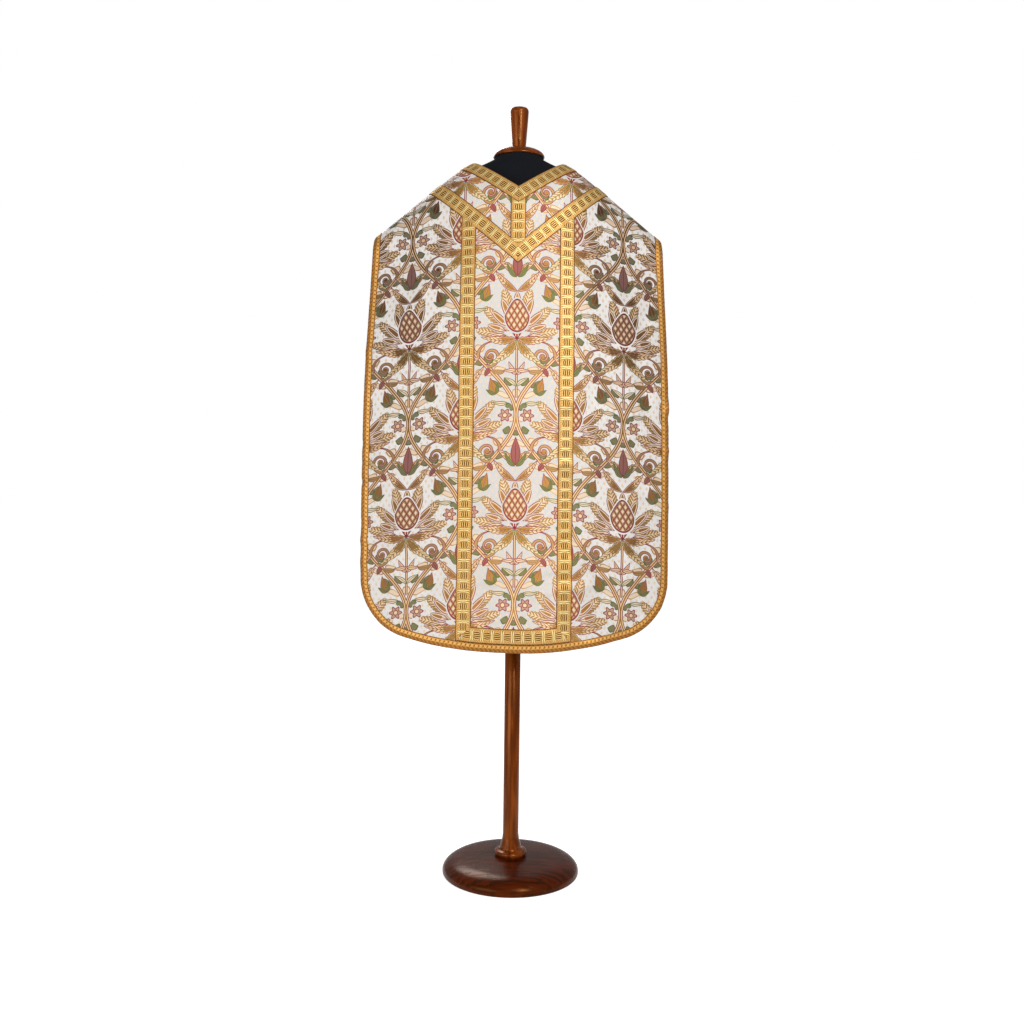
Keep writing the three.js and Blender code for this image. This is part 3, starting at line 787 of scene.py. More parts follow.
# %% Cut and roll
def cut(px, pdown, along, inside):
    """Slides the points past a cut back to it, each along its own thread of the ribbon."""
    grids = [px.copy(), pdown.copy(), along.copy()]
    for j in range(px.shape[1]):
        kept = np.flatnonzero(inside[:, j] > 0)
        first, last = kept[0], kept[-1]
        for end, beyond, past in ((first, first - 1, slice(0, first)),
                                  (last, last + 1, slice(last + 1, None))):
            if not 0 <= beyond < len(inside):
                continue
            share = inside[end, j] / (inside[end, j] - inside[beyond, j])
            for grid in grids:
                grid[past, j] = mix(grid[end, j], grid[beyond, j], share)
    return grids


ROLL_FROM = -6.0 * MM                     # the roll starts here across the narrow braid
ROLL_WIDTH = 2.5 * MM
ROLL_DEPTH = 2.4 * MM


def rolled_over(sheet, points, under, across):
    """Bends the outer edge of the ribbon inwards, round the raw edge of the cloth."""
    past = np.clip((ROLL_FROM - across) / ROLL_WIDTH, 0, 1)[None, :, None]
    outwards = points - np.roll(points, -1, axis=1)
    outwards[:, -1] = 0
    outwards /= np.maximum(np.linalg.norm(outwards, axis=-1, keepdims=True), 1e-9)
    inwards = np.array([0, -sheet.sign * ROLL_DEPTH, 0])
    shift = inwards * past**2 + outwards * past * (1.4 - past * 0.9) * MM
    return points + shift, under + shift


# %% A ribbon's mesh
def strip(name, points, under, flat, facing_back):
    """A ribbon's face from its grid, with its cut edges turned down to the cloth."""
    rows, columns = points.shape[:2]
    ring = np.concatenate([
        np.arange(columns), np.arange(1, rows) * columns + columns - 1,
        rows * columns - 2 - np.arange(columns - 1), np.arange(rows - 2, 0, -1) * columns])
    low = rows * columns + np.arange(len(ring))
    wall = np.stack([np.roll(ring, -1), ring, low, np.roll(low, -1)], 1)
    faces = np.concatenate([grid_faces(rows, columns), wall])
    if facing_back:
        faces = faces[:, ::-1]
    points, under, flat = (grid.reshape(-1, 3) for grid in (points, under, flat))
    piece = new_object(name, np.concatenate([points, under[ring]]), faces.tolist(),
                       flat=np.concatenate([flat, flat[ring]]))
    merge_close(piece)
    return piece


def merge_close(piece, near=0.01 * MM):
    """Merges the points that a cut brought together, and keeps the folds over 60 degrees sharp."""
    work = bmesh.new()
    work.from_mesh(piece.data)
    bmesh.ops.remove_doubles(work, verts=work.verts, dist=near)
    bmesh.ops.dissolve_degenerate(work, edges=work.edges, dist=near)
    work.to_mesh(piece.data)
    work.free()
    piece.data.shade_smooth()
    piece.data.set_sharp_from_angle(angle=math.radians(60))


# %% Ribbon builder
BRAID_LIFT = 0.3 * MM                     # the braid's underside is this far from the cloth
braids = {}


def ribbon(node, sheet, line, braid, *tests):
    """Lays a braid along line(t), t from 0 to 1, and keeps what is above 0 in every test."""
    x, down = line(np.linspace(0, 1, 1500))
    path = smooth_cloth(sheet, x, down)
    run = np.concatenate([[0], np.cumsum(np.linalg.norm(np.diff(path, axis=0), axis=1))])
    direction = np.gradient(path, run, axis=0)
    places = stations(run[-1], braid)
    way = np.stack([np.interp(places, run, direction[:, k]) for k in range(3)], -1)
    across = braid.across * MM
    px, pdown = cross_places(
        sheet, np.interp(places, run, x), np.interp(places, run, down), way, across)
    along = places[:, None] + 0 * across[None, :]
    grid = smooth_cloth(sheet, px, pdown)
    px, pdown, along = cut(px, pdown, along, np.minimum.reduce([test(grid) for test in tests]))
    pdown = np.maximum(pdown, SEAM_GAP)
    rise = braid.height(along / MM, across[None, :] / MM) * MM
    points = on_cloth(sheet, px, pdown, BRAID_LIFT + rise)
    under = on_cloth(sheet, px, pdown, BRAID_LIFT * 0.4)
    if braid.rolls:
        points, under = rolled_over(sheet, points, under, across)
    flat = np.stack([along, across[None, :] + 0 * along, rise], -1)
    piece = strip(node.replace("galloon", "braid"), points, under, flat, sheet.sign > 0)
    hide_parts(node)
    braids[node] = piece


# %% [markdown]
# ## Laying out the braids
#
# On the front a V of wide braid follows the neckline, a wider V covers the chevron seam, and a
# short upright joins their points. Two columns run down over the seams to a level braid at the
# foot. The back has the columns, the foot and a curved braid round the neck. The narrow braid
# goes round each sheet from shoulder to shoulder.

# %% Lines for the braids
OVER = 0.04                               # how far a line runs on past the place it is cut
BUTT = 0.3 * MM                           # the gap where two braids meet
HALF = BRAID_WIDTH / 2


def over_shoulder(x, down):
    """The line, carried on straight over the shoulder from its last place."""
    beyond = np.linspace(0, -OVER, 60)
    return np.append(x, x[-1] + 0 * beyond), np.append(down, beyond)


def as_line(x, down):
    """A line as a function of t from its places."""
    step = np.hypot(np.diff(x), np.diff(down))
    run = np.concatenate([[0], np.cumsum(step)])
    return lambda t: (np.interp(t * run[-1], run, x), np.interp(t * run[-1], run, down))


def chevron_line(upper, lower, hand):
    """The middle line between two drawn lines, from past the centre up and over the shoulder."""
    middle = Line((upper.z + lower.z) / 2, (upper.x + lower.x) / 2)
    x = mix(-OVER, middle.x, 1 - (1 - np.linspace(0, 1, 400)) ** 2)
    height = middle.z + (ridge_height(middle.x) - middle.z) * x / middle.x
    x, down = over_shoulder(x, down_at(FRONT, x, height))
    return as_line(hand * x, down)


def column_line(sheet, x, top, foot_z):
    """Straight down at x, from the place top on the cloth to the height foot_z."""
    foot = float(down_at(sheet, x, foot_z))
    return lambda t: (x + 0 * t, mix(top, foot, t))


def foot_line(sheet, seam_x):
    """Along the hem, inside the narrow braid, from one column to the other."""
    middle = Outline(sheet, EDGE_WIDTH + BUTT + HALF)

    def line(t):
        x = mix(-seam_x - OVER, seam_x + OVER, t)
        return x, down_at(sheet, x, middle.hem_height(x))
    return line


chevron_start = [round(float(place), 3) for place in chevron_line(CHEVRON_TOP, CHEVRON_FOOT, 1)(0)]
print("the chevron braid starts past the middle, at", chevron_start)

# %% [markdown]
# Every braid is cut by one or two tests. A test gives a number for each point of the braid:
# above nought the point stays, below it the point has been cut off, and nought is the cut.

# %% Tests for the cuts
def before_shoulder(sheet):
    """Keeps what is on the sheet's own side of the shoulder line."""
    return lambda point: point[..., 1] * sheet.sign - SEAM_GAP


def own_half(hand):
    """Keeps what is on one hand of the middle."""
    return lambda point: point[..., 0] * hand - SEAM_GAP


def under_line(line):
    return lambda point: line.height(point[..., 0]) - BUTT - point[..., 2]


def over_line(line):
    return lambda point: point[..., 2] - line.height(point[..., 0]) - BUTT


def over_mitre(sheet, seam_x):
    """Keeps a column above the mitre, where the level braid at its foot takes over."""
    low = Outline(sheet, EDGE_WIDTH + BUTT)
    high = Outline(sheet, EDGE_WIDTH + BUTT + BRAID_WIDTH)

    def beyond(point):
        share = (np.abs(point[..., 0]) - seam_x + HALF) / BRAID_WIDTH
        return point[..., 2] - mix(high.hem_height(seam_x), low.hem_height(seam_x), share)
    return beyond


def under_mitre(sheet, seam_x):
    test = over_mitre(sheet, seam_x)
    return lambda point: -test(point) - BUTT


# %% Wide braids
HEM_OVERLAP = 0.012                       # a column's line ends this far over the hem
COLUMN_TOP = 1.46                         # and starts at this height, over the chevron's cut
STEM_TOP, STEM_FOOT = 1.455, 1.33
BACK_NECK_X = 0.1135                      # where the middle of the neck braid meets the shoulder
NECK_BRAID_GAP = 0.5 * MM                 # between the ends of that braid and the columns

for word, hand in HANDS.items():
    ribbon(f"neck_galloon_{word}", FRONT, chevron_line(NECKLINE, NECK_BRAID_EDGE, hand), WIDE,
           own_half(hand), before_shoulder(FRONT))
    ribbon(f"chevron_galloon_{word}", FRONT, chevron_line(CHEVRON_TOP, CHEVRON_FOOT, hand), WIDE,
           own_half(hand), before_shoulder(FRONT))
    x = hand * FRONT_SEAM_X
    top = float(down_at(FRONT, x, COLUMN_TOP))
    ribbon(f"front_column_galloon_{word}", FRONT,
           column_line(FRONT, x, top, FRONT.hem_z + HEM_OVERLAP), WIDE,
           over_mitre(FRONT, FRONT_SEAM_X), under_line(CHEVRON_FOOT))
    ribbon(f"back_column_galloon_{word}", BACK,
           column_line(BACK, hand * BACK_SEAM_X, -OVER, BACK.hem_z + HEM_OVERLAP), WIDE,
           over_mitre(BACK, BACK_SEAM_X), before_shoulder(BACK))
for sheet, side, seam_x in ((FRONT, "front", FRONT_SEAM_X), (BACK, "back", BACK_SEAM_X)):
    ribbon(f"{side}_foot_galloon", sheet, foot_line(sheet, seam_x), WIDE,
           under_mitre(sheet, seam_x))
ribbon("stem_galloon", FRONT,
       column_line(FRONT, 0.0, float(down_at(FRONT, 0.0, STEM_TOP)), STEM_FOOT), WIDE,
       under_line(NECK_BRAID_EDGE), over_line(CHEVRON_TOP))
back_neck = Line((BACK_NECKLINE.z + BACK_NECK_BRAID_EDGE.z) / 2, BACK_NECK_X, 2)
neck_end = BACK_SEAM_X - HALF - NECK_BRAID_GAP
ribbon("back_neck_galloon", BACK,
       lambda t: back_neck.place(BACK, mix(-BACK_NECK_X, BACK_NECK_X, t)), WIDE,
       before_shoulder(BACK), lambda point: neck_end - np.abs(point[..., 0]))
print("wide braids:", {node: len(piece.data.polygons) for node, piece in braids.items()})

# %% Narrow braids
def edge_line(sheet):
    """Round the sheet from the right shoulder down, along the hem and up the left side."""
    middle = Outline(sheet, EDGE_WIDTH / 2)
    fine = np.linspace(0, 1, 900)
    side = np.array(middle.side(fine))
    hem = np.array(middle.hem(0.0, fine))
    half = np.concatenate([hem, side[:, ::-1][:, 1:]], 1)         # from the middle to the shoulder
    half = np.array(over_shoulder(*half))
    left = half * np.array([[-1], [1]])
    return as_line(*np.concatenate([half[:, ::-1], left[:, 1:]], 1))


for sheet, side in ((FRONT, "front"), (BACK, "back")):
    ribbon(f"{side}_edge_galloon", sheet, edge_line(sheet), NARROW, before_shoulder(sheet))
print("narrow braids:", {n: len(p.data.polygons) for n, p in braids.items() if "edge" in n})

# %% [markdown]
# ## The dress form
#
# The body is a smooth limbless form covered in black jersey, lofted through a few level
# sections. The cap, the finial, the pole and the foot are turned on a lathe, so each is a
# profile spun round the upright axis.

# %% The covered body
AROUND = 96                               # points round each section
# z, half width, depth to the front and to the back in millimetres, and squareness
BODY_SECTIONS = [
    (1558.7, 53, 53, 53, 2.0),
    (1552, 55, 53, 53, 2.0),
    (1545, 71, 52, 51, 1.6),
    (1533, 100, 52, 42, 1.25),
    (1518, 118, 56, 48, 1.25),
    (1496, 148, 62, 58, 1.4),
    (1474, 177, 65, 62, 1.45),
    (1454, 202, 75, 69, 1.6),
    (1430, 213, 84, 78, 1.8),
    (1390, 213, 95, 88, 2.0),
    (1330, 199, 104, 95, 2.1),
    (1250, 177, 108, 96, 2.2),
    (1150, 157, 102, 86, 2.2),
    (1060, 148, 96, 80, 2.2),
    (960, 161, 100, 92, 2.2),
    (885, 169, 102, 98, 2.2),
    (848, 165, 98, 94, 2.2),
    (840, 158, 92, 88, 2.2),
    (838.2, 150, 84, 80, 2.2),
]


def skinned(name, rings):
    """A closed piece from level rings of AROUND points each, from the bottom up."""
    middle = [rings[0].mean(0), rings[-1].mean(0)]
    points = np.concatenate([*rings, middle]) * MM
    ring = np.arange(AROUND)
    start = np.arange(len(rings) - 1)[:, None] * AROUND
    here = (start + ring).ravel()
    beside = (start + (ring + 1) % AROUND).ravel()
    walls = np.stack([here, beside, beside + AROUND, here + AROUND], 1)
    last = (len(rings) - 1) * AROUND
    bottom = [[(i + 1) % AROUND, i, len(points) - 2] for i in range(AROUND)]
    top = [[last + i, last + (i + 1) % AROUND, len(points) - 1] for i in range(AROUND)]
    return new_object(name, points, walls.tolist() + bottom + top)


def body_ring(z, half_width, front, back, square=2):
    """A level section in millimetres. Squareness 2 is an ellipse, and less draws in its sides."""
    angle = np.arange(AROUND) / AROUND * 2 * math.pi
    x = half_width * np.sign(np.cos(angle)) * np.abs(np.cos(angle)) ** (2 / square)
    y = np.where(np.sin(angle) < 0, front, back) * np.sin(angle)
    return np.stack([x, y, np.full(AROUND, z)], 1)


body = skinned("jersey_body", [body_ring(*row) for row in BODY_SECTIONS[::-1]])
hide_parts("torso")
print("body:", [round(side, 3) for side in body.dimensions], "m")

# %% Turned wood
def arc(r, z, radius_r, radius_z, start, end, steps=10):
    """Points on part of an ellipse, angles in degrees from the outward level."""
    turns = np.radians(np.linspace(start, end, steps))
    return [(r + radius_r * math.cos(a), z + radius_z * math.sin(a)) for a in turns]


def turned(name, node, profile):
    """A piece spun round the upright axis from a profile of (radius, height) in millimetres."""
    piece = skinned(name, [body_ring(z, r, r, r) for r, z in profile])
    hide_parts(node)
    return piece


wood_pieces = [
    turned("turned_neck_cap", "neck_cap", [
        (50, 1559), (53.5, 1559), *arc(54, 1561, 2, 2, -80, 0, 5), *arc(0, 1561, 56, 20, 4, 55),
        *arc(0, 1561.5, 55.5, 19.8, 60, 84, 6), (3, 1581.5)]),
    turned("turned_finial", "finial", [
        (10, 1581.8), (14.4, 1581.8), (14.8, 1583), (16.4, 1604), (17.9, 1624), (19.2, 1642),
        (20, 1653), *arc(14.8, 1660, 5.6, 8.6, -20, 62, 9), *arc(0, 1660.6, 20.4, 10.9, 48, 84, 8),
        (0.8, 1671.5)]),
    turned("turned_pole", "pole", [
        (25, 38.3), (32, 38.3), *arc(30, 45, 5, 6, -75, 75, 9), *arc(30, 58, 7, 7, 260, 185, 7),
        (21, 67), (18.5, 74), (17, 86), (17, 837), (15.5, 837.7)]),
    turned("turned_foot", "base", [
        (138, 0), (142, 0.1), *arc(143, 5, 5, 5, -80, 0, 6), *arc(96, 8, 52, 26, 5, 82, 16),
        (88, 35.2), (64, 37.1), (42, 38), (32, 38)]),
]
print("turned pieces:", {piece.name: round(piece.dimensions.z, 3) for piece in wood_pieces})

# %% [markdown]
# ## Finishes: small tools first
#
# Colours are given as a maker would pick them from a card, in ordinary 0-255 screen values.
# Blender works in linear light, so they are converted once, here.

# %% Colours
def colour(red, green, blue):
    """A screen colour as the linear RGBA that a shader socket takes."""
    screen = np.array([red, green, blue]) / 255
    linear = np.where(screen <= 0.04045, screen / 12.92, ((screen + 0.055) / 1.055) ** 2.4)
    return (*linear.tolist(), 1.0)


print("screen grey 128 in linear light:", round(colour(128, 128, 128)[0], 3))

# %% [markdown]
# Effects that several materials share, such as a weave, are node groups with named inputs and
# outputs, built once and used with other values each time. The next helpers make a group, close
# it and place it. The outputs carry only colours and masks: the shader stays in the material.

# %% Node groups
def wire(tree, node, **values):
    """Wires or sets a node's inputs by name; an underscore stands for a space."""
    for label, value in values.items():
        connect(tree, value, node.inputs[label.replace("_", " ")])


def new_group(name, inputs, outputs):
    """A node group; returns its tree and its inputs as threads by name."""
    tree = bpy.data.node_groups.new(name, "ShaderNodeTree")
    for side, sockets in (("INPUT", inputs), ("OUTPUT", outputs)):
        for label, kind in sockets.items():
            tree.interface.new_socket(label, in_out=side, socket_type=f"NodeSocket{kind}")
    entry = tree.nodes.new("NodeGroupInput")
    given = {label: Thread(tree, entry.outputs[label]) for label in inputs}
    return tree, given


def close_group(tree, **results):
    """Wires the results to the group's outputs."""
    wire(tree, tree.nodes.new("NodeGroupOutput"), **results)


def use_group(tree, group, **values):
    """A group node in a tree; returns its outputs as threads by name."""
    node = tree.nodes.new("ShaderNodeGroup")
    node.node_tree = group
    wire(tree, node, **values)
    return {socket.name: Thread(tree, socket) for socket in node.outputs}


# %% Nodes that the finishes use
def painted(tree, under, *coats):
    """A colour with coats over it, each a mask and a colour."""
    for mask, over in coats:
        node = tree.nodes.new("ShaderNodeMix")
        node.data_type = "RGBA"
        factor, first, second = node.inputs["Factor"], node.inputs[6], node.inputs[7]
        for value, slot in ((mask, factor), (under, first), (over, second)):
            connect(tree, value, slot)
        under = Thread(tree, node.outputs[2])
    return under


def split(tree, vector):
    """The three numbers of a vector."""
    node = tree.nodes.new("ShaderNodeSeparateXYZ")
    connect(tree, vector, node.inputs[0])
    return [Thread(tree, socket) for socket in node.outputs]


def times(tree, vector, factor):
    """A vector or colour times another or a number, part by part."""
    node = tree.nodes.new("ShaderNodeVectorMath")
    node.operation = "MULTIPLY"
    connect(tree, vector, node.inputs[0])
    connect(tree, factor, node.inputs[1])
    return Thread(tree, node.outputs[0])


def flat_place(tree):
    """The place on the flat cloth, in millimetres."""
    node = tree.nodes.new("ShaderNodeAttribute")
    node.attribute_name = "flat"
    return times(tree, node.outputs["Vector"], (1000, 1000, 1000))


def noise(tree, vector, scale, detail=2.0):
    """Soft random values about 0.5, one for each place."""
    node = tree.nodes.new("ShaderNodeTexNoise")
    wire(tree, node, Vector=vector, Scale=scale, Detail=detail)
    return Thread(tree, node.outputs[0])


def new_material(name, **constants):
    """A material with a Principled shader; constants set its own sockets."""
    material = bpy.data.materials.new(name)
    material.use_nodes = True
    tree = material.node_tree
    shader = tree.nodes["Principled BSDF"]
    wire(tree, shader, **constants)
    return material, tree, shader


def bump(tree, height, depth):
    """The normal of a surface whose height varies by depth, in metres."""
    node = tree.nodes.new("ShaderNodeBump")
    wire(tree, node, Height=height, Distance=depth, Strength=1.0)
    return Thread(tree, node.outputs["Normal"])


# %% [markdown]
# ## Drawing the brocade
#
# A brocade's figure is made by supplementary threads that come to the face only where they
# are wanted. Here there are three over a silver ground: gold, rose and green. The drawing
# says, for each place, how much of each thread shows; the materials decide the colours.
#
# The drawing is made of a few kinds of shape. Each works out its depth, the distance inside its
# own edge. edge() turns that into paint, and less depth gives an outline. All lengths in the
# drawing are millimetres on the flat cloth.

# %% Threads of the figure
# how much gold, rose and green shows
GROUND = (0, 0, 0)
GOLD = (1, 0, 0)
ROSE = (0, 1, 0)
GREEN = (0, 0, 1)
PEACH = (0.5, 0, 0)
TAN = (0.86, 0.1, 0.04)
PINK = (0.4, 0.5, 0)
WINE = (0.3, 0.85, 0)
SAGE = (0.3, 0, 0.85)
CREAM = (0.36, 0, 0)
BROWN = (0.9, 0.4, 0.3)


class Figure:
    """The drawing in progress: the threads painted so far, as a colour."""

    def __init__(self, tree):
        self.tree = tree
        self.threads = (0, 0, 0, 1)

    def paint(self, mask, threads):
        if isinstance(threads, tuple):
            threads = (*threads, 1)
        self.threads = painted(self.tree, self.threads, (mask, threads))

    def outlined(self, depth, line, fill, weight=1.6):
        self.paint(edge(depth + 0.5), line)
        self.paint(edge(depth - weight + 0.5), fill)


print("peach is", PEACH[0], "gold, woven with the ground")

# %% [markdown]
# Leaves are used so often that one leaf is a node group: a curved lens shape from its root, with
# a turn, a length, a width, a curl and a belly that moves the widest place.

# %% One leaf
leaf_group, leaf = new_group(
    "Leaf",
    {"X": "Float", "Y": "Float", "Cosine": "Float", "Sine": "Float", "Length": "Float",
     "Width": "Float", "Curl": "Float", "Belly": "Float"},
    {"Depth": "Float", "Along": "Float", "Across": "Float"})
leaf_along = (leaf["X"] * leaf["Cosine"] + leaf["Y"] * leaf["Sine"]) / leaf["Length"]
leaf_across = (leaf["Y"] * leaf["Cosine"] - leaf["X"] * leaf["Sine"]
               - leaf["Curl"] * leaf["Length"] * leaf_along * leaf_along)
leaf_on = clip(leaf_along)
leaf_shape = leaf_on * (1 - leaf_on) * (1 + leaf["Belly"] - 2 * leaf["Belly"] * leaf_on) * 2
leaf_depth = (leaf_shape * leaf["Width"] - size(leaf_across)
              - size(leaf_along - leaf_on) * leaf["Length"])
close_group(leaf_group, Depth=leaf_depth, Along=leaf_along, Across=leaf_across)
print("nodes in one leaf:", len(leaf_group.nodes))

# %% All leaves of one repeat
# root x and y, turn, length, width, curl, belly, outline, inside
LEAVES = [
    (0, 60, 24, 60, 15, 0.38, 0.3, ROSE, PEACH),
    (48, 82, 72, 28, 10, -0.30, 0.4, ROSE, WINE),
    (94, 26, 196, 30, 9, -0.35, 0.3, GREEN, CREAM),
    (24, -104, -20, 30, 10, 0.50, 0.3, BROWN, TAN),
    (0, -38, -64, 76, 20, 0.40, 0.3, GREEN, PEACH),
    (0, -36, -20, 70, 19, 0.46, 0.3, ROSE, PEACH),
    (1, 92, 58, 50, 15, -0.30, 0.5, ROSE, PEACH),
    (0, 92, 90, 58, 19, 0, 0.4, ROSE, WINE),
    (1, 90, 28, 34, 10, 0.50, 0.3, GREEN, SAGE),
    (70, 44, 120, 36, 16, -0.20, 0.6, ROSE, GOLD),
    (70, 44, 66, 22, 8, 0.30, 0.3, GREEN, SAGE),
    (70, 44, 168, 22, 8, -0.30, 0.3, GREEN, SAGE),
    (0, -112, 40, 30, 10, 0.35, 0.3, ROSE, PEACH),
    (0, -136, 52, 30, 9, -0.30, 0.3, GREEN, CREAM),
    (0, -100, -28, 26, 9, 0.40, 0.3, ROSE, PEACH),
]
print("leaves in half a repeat:", len(LEAVES))

# %% [markdown]
# The repeat is 224 x 390 mm, mirrored left to right, and it steps down by half in the next
# column. Garlands part the field into pointed ovals. In each stands a fruit in a fan of leaves.
# So the plane is folded: every place of the cloth is brought to one half of one oval, where x
# runs from the middle of the oval and y up it. What is drawn there appears everywhere.

# %% The folded field
REPEAT_W = 224.0
REPEAT_H = 390.0
HALF_W = REPEAT_W / 2


def folded(across, up):
    """The place in one half oval, and how far it is inside the oval's edge."""
    x = size(part(across / REPEAT_W + 0.5) * REPEAT_W - HALF_W)
    y = (part(up / REPEAT_H + 0.5) - 0.5) * REPEAT_H
    wave = 2 * math.pi / REPEAT_H
    next_oval = above(x, (1 + cosine(y * wave)) * (HALF_W / 2))
    x = x + next_oval * (HALF_W - 2 * x)
    y = y + next_oval * (REPEAT_H / 2 - REPEAT_H * above(y, 0))
    reach = (1 + cosine(y * wave)) * (HALF_W / 2)
    slope = sine(y * wave) * (HALF_W / 2 * wave)
    return x, y, (reach - x) / root(1 + slope * slope)


next_middle = folded(HALF_W, REPEAT_H / 2)[:2]
print("the middle of the next oval folds to", [round(float(value), 1) for value in next_middle])

# %% [markdown]
# The ground between the large shapes isn't empty. Small lozenges are sown all over it, a band
# with leaflets edges each oval, and a tendril winds in its lower corner.

# %% Ground, garland and tendril
SEED_PITCH = 13.0


def lozenges(x, y, pitch):
    """How far each place is from its lozenge's middle: 0 there, and 0.5 on the net around."""
    rising, falling = (x + y * 0.62) / pitch, (x - y * 0.62) / pitch
    return larger(size(part(rising) - 0.5), size(part(falling) - 0.5))


def seeds(figure, x, y):
    """Small pale lozenges in offset rows, all over the ground."""
    figure.paint(edge((0.21 - lozenges(x, y, SEED_PITCH)) * SEED_PITCH), CREAM)


def garland(figure, y, inside):
    """A band with leaflets along the edge of the oval, green and tan by turns."""
    place = y / 24 - inside / 40
    odd = part(whole(place) / 2) * 2
    tip = (inside - 3) / (17 + 5 * odd)
    on = clip(tip)
    sway = part(place + on * on * 0.25) - 0.5
    depth = on * (1 - on) * (1.4 - 0.8 * on) * 22.4 - size(sway) * 16.8 - size(tip - on) * 40
    figure.paint(edge(depth), painted(figure.tree, (*GREEN, 1), (odd, (*TAN, 1))))
    figure.paint(edge(depth - 1.5), painted(figure.tree, (*SAGE, 1), (odd, (*CREAM, 1))))
    for width, threads in ((4.9, ROSE), (3.2, PEACH), (1.3, GOLD)):
        figure.paint(edge(width - inside), threads)


def scroll(figure, x, y, outer=30, grow=0.17 * 2 * math.pi):
    """A tendril wound as a spiral that grows by the same share with each turn."""
    x, y = x - 54, y + 72
    far = distance(x, y)
    turns = logarithm(far / outer, math.e) / grow - turn_of(y, x) / (2 * math.pi)
    lane = part(turns + 0.62) - 0.5
    stroke = far * 0.15 + 0.9 - size(lane) * far * grow
    figure.outlined(smaller(smaller(stroke, outer - far), far - 3), ROSE, TAN, 1.5)
    figure.paint(edge(3.6 - far), GOLD)


def stem(figure, x, y):
    """An upright stem under the fan."""
    below = edge(-34 - y) * edge(y + 160)
    figure.paint(edge(2.6 - size(x)) * below, ROSE)
    figure.paint(edge(0.9 - size(x)) * below, PEACH)


# %% [markdown]
# Two fans stand behind the fruit. Both are drawn round a centre on the stem: the turn picks the
# lobe or petal, and the distance from its middle line gives its sides. A loom can't fade one
# colour into another, so the tones meet in a comb of points, and ribs and veins do the rest.

# %% Fans
def teeth(across, pitch, reach):
    """A comb of points, with which a weaver runs one tone into the next."""
    return size(part(across / pitch) - 0.5) * 2 * reach


def rays(x, y, spread, offset):
    """The way out from a centre, the turn, the nth ray and the distance beside it."""
    far = distance(x, y)
    turn = turn_of(x, y)
    nth = whole(turn / spread + offset) + (0.5 - offset)
    return far, turn, nth, (turn - nth * spread) * far


def back_fan(figure, x, y, lobe=math.radians(30), start=30, reach=112, shorter=10):
    """The broad ribbed lobes behind everything, each shorter than the one above it."""
    far, turn, nth, off = rays(x, y + 38, lobe, 0)
    rim = reach - nth * shorter
    top = (far - start) / (rim - start)
    on = clip(top)
    wide = root(1 - on) * far * (lobe * 0.46)
    scallop = (1 - size(cosine(far * 0.42 - size(off) * 0.25))) * 2
    depth = smaller(wide - size(off) - size(top - on) * 50, (1.55 - turn) * 40) - scallop
    figure.outlined(depth, BROWN, TAN, 1.6)
    figure.paint(edge(far + teeth(off, 4.4, 13) - rim + 22) * edge(depth - 1.6), PEACH)
    rib = edge(size(sine(far * 0.42 - size(off) * 0.5)) - 0.74, 0.1)
    figure.paint(rib * edge(depth - 2), BROWN)
    figure.paint(edge(0.6 - size(off)) * edge(depth - 1.5), CREAM)


def palmette(figure, x, y, petal=math.radians(23), start=22, reach=88, shorter=8):
    """A fan of pale petals in front of it, each with a gold heart and a rose vein."""
    far, turn, nth, off = rays(x, y + 30, petal, 0.5)
    rim = reach - smaller(nth, 4) * shorter
    top = (far - start) / (rim - start)
    on = clip(top)
    wide = root(1 - on) * clip(on * 3) * far * (petal * 0.5)
    beside = wide - size(off) - size(top - on) * 50
    figure.paint(edge(beside + 1.6) * edge((1.8 - turn) * 40 + 2), GROUND)
    depth = smaller(beside, (1.8 - turn) * 40)
    figure.outlined(depth, ROSE, CREAM, 1.7)
    figure.paint(edge(depth - 3.2) * edge(far - 38), GOLD)
    figure.paint(edge(0.6 - size(off)) * edge(depth - 1.5) * edge(rim - 12 - far), ROSE)


# %% [markdown]
# Leaves come over the fans. The large pale ones also have a gold root that ends in teeth, and
# brown barbs like a feather's.

# %% Leaves
FEATHERED = 50                            # pale leaves at least this long have barbs
SERRATED = 60                             # and leaves longer than this have a toothed edge


def leaves(figure, x, y):
    for root_x, root_y, turn, length, width, curl, belly, line, fill in LEAVES:
        angle = math.radians(turn)
        made = use_group(
            figure.tree, leaf_group, X=x - root_x, Y=y - root_y, Cosine=math.cos(angle),
            Sine=math.sin(angle), Length=length, Width=width, Curl=curl, Belly=belly)
        depth, along, across = made["Depth"], made["Along"], made["Across"]
        if length > SERRATED:
            depth = depth - (1 - size(cosine(along * 24))) * 1.8
        figure.outlined(depth, line, fill)
        if fill == PEACH and length >= FEATHERED:
            inside = edge(depth - 1.9)
            figure.paint(edge((0.4 - along) * length + teeth(across, 4.2, 12)) * inside, GOLD)
            barb = size(part((along * length - size(across)) / 7.6) - 0.5) * 7.6
            figure.paint(edge(1.5 - size(across) * 0.1 - barb) * inside, BROWN)
        vein = edge(0.55 - size(across)) * edge(depth - 1.5) * edge((0.8 - along) * length)
        figure.paint(vein, line)


# %% [markdown]
# Last come the shapes in front: a fluted cup, the pointed fruit in it with a net of lozenges
# and a pale pip in each, and a small flower where the garlands meet.

# %% Cup, fruit and flower
def cup(figure, x, y):
    lift = (y + 26) / 15
    within = (1 - size(lift)) * 15
    depth = (1 - lift * lift) * (9 + lift * 7) - x
    figure.outlined(smaller(depth, within), ROSE, ROSE, 2.2)
    flutes = edge(0.9 - size(part(x / 5) - 0.5) * 5)
    figure.paint(flutes * edge(depth - 2) * edge(within - 2), PEACH)


FRUIT_PITCH = 12


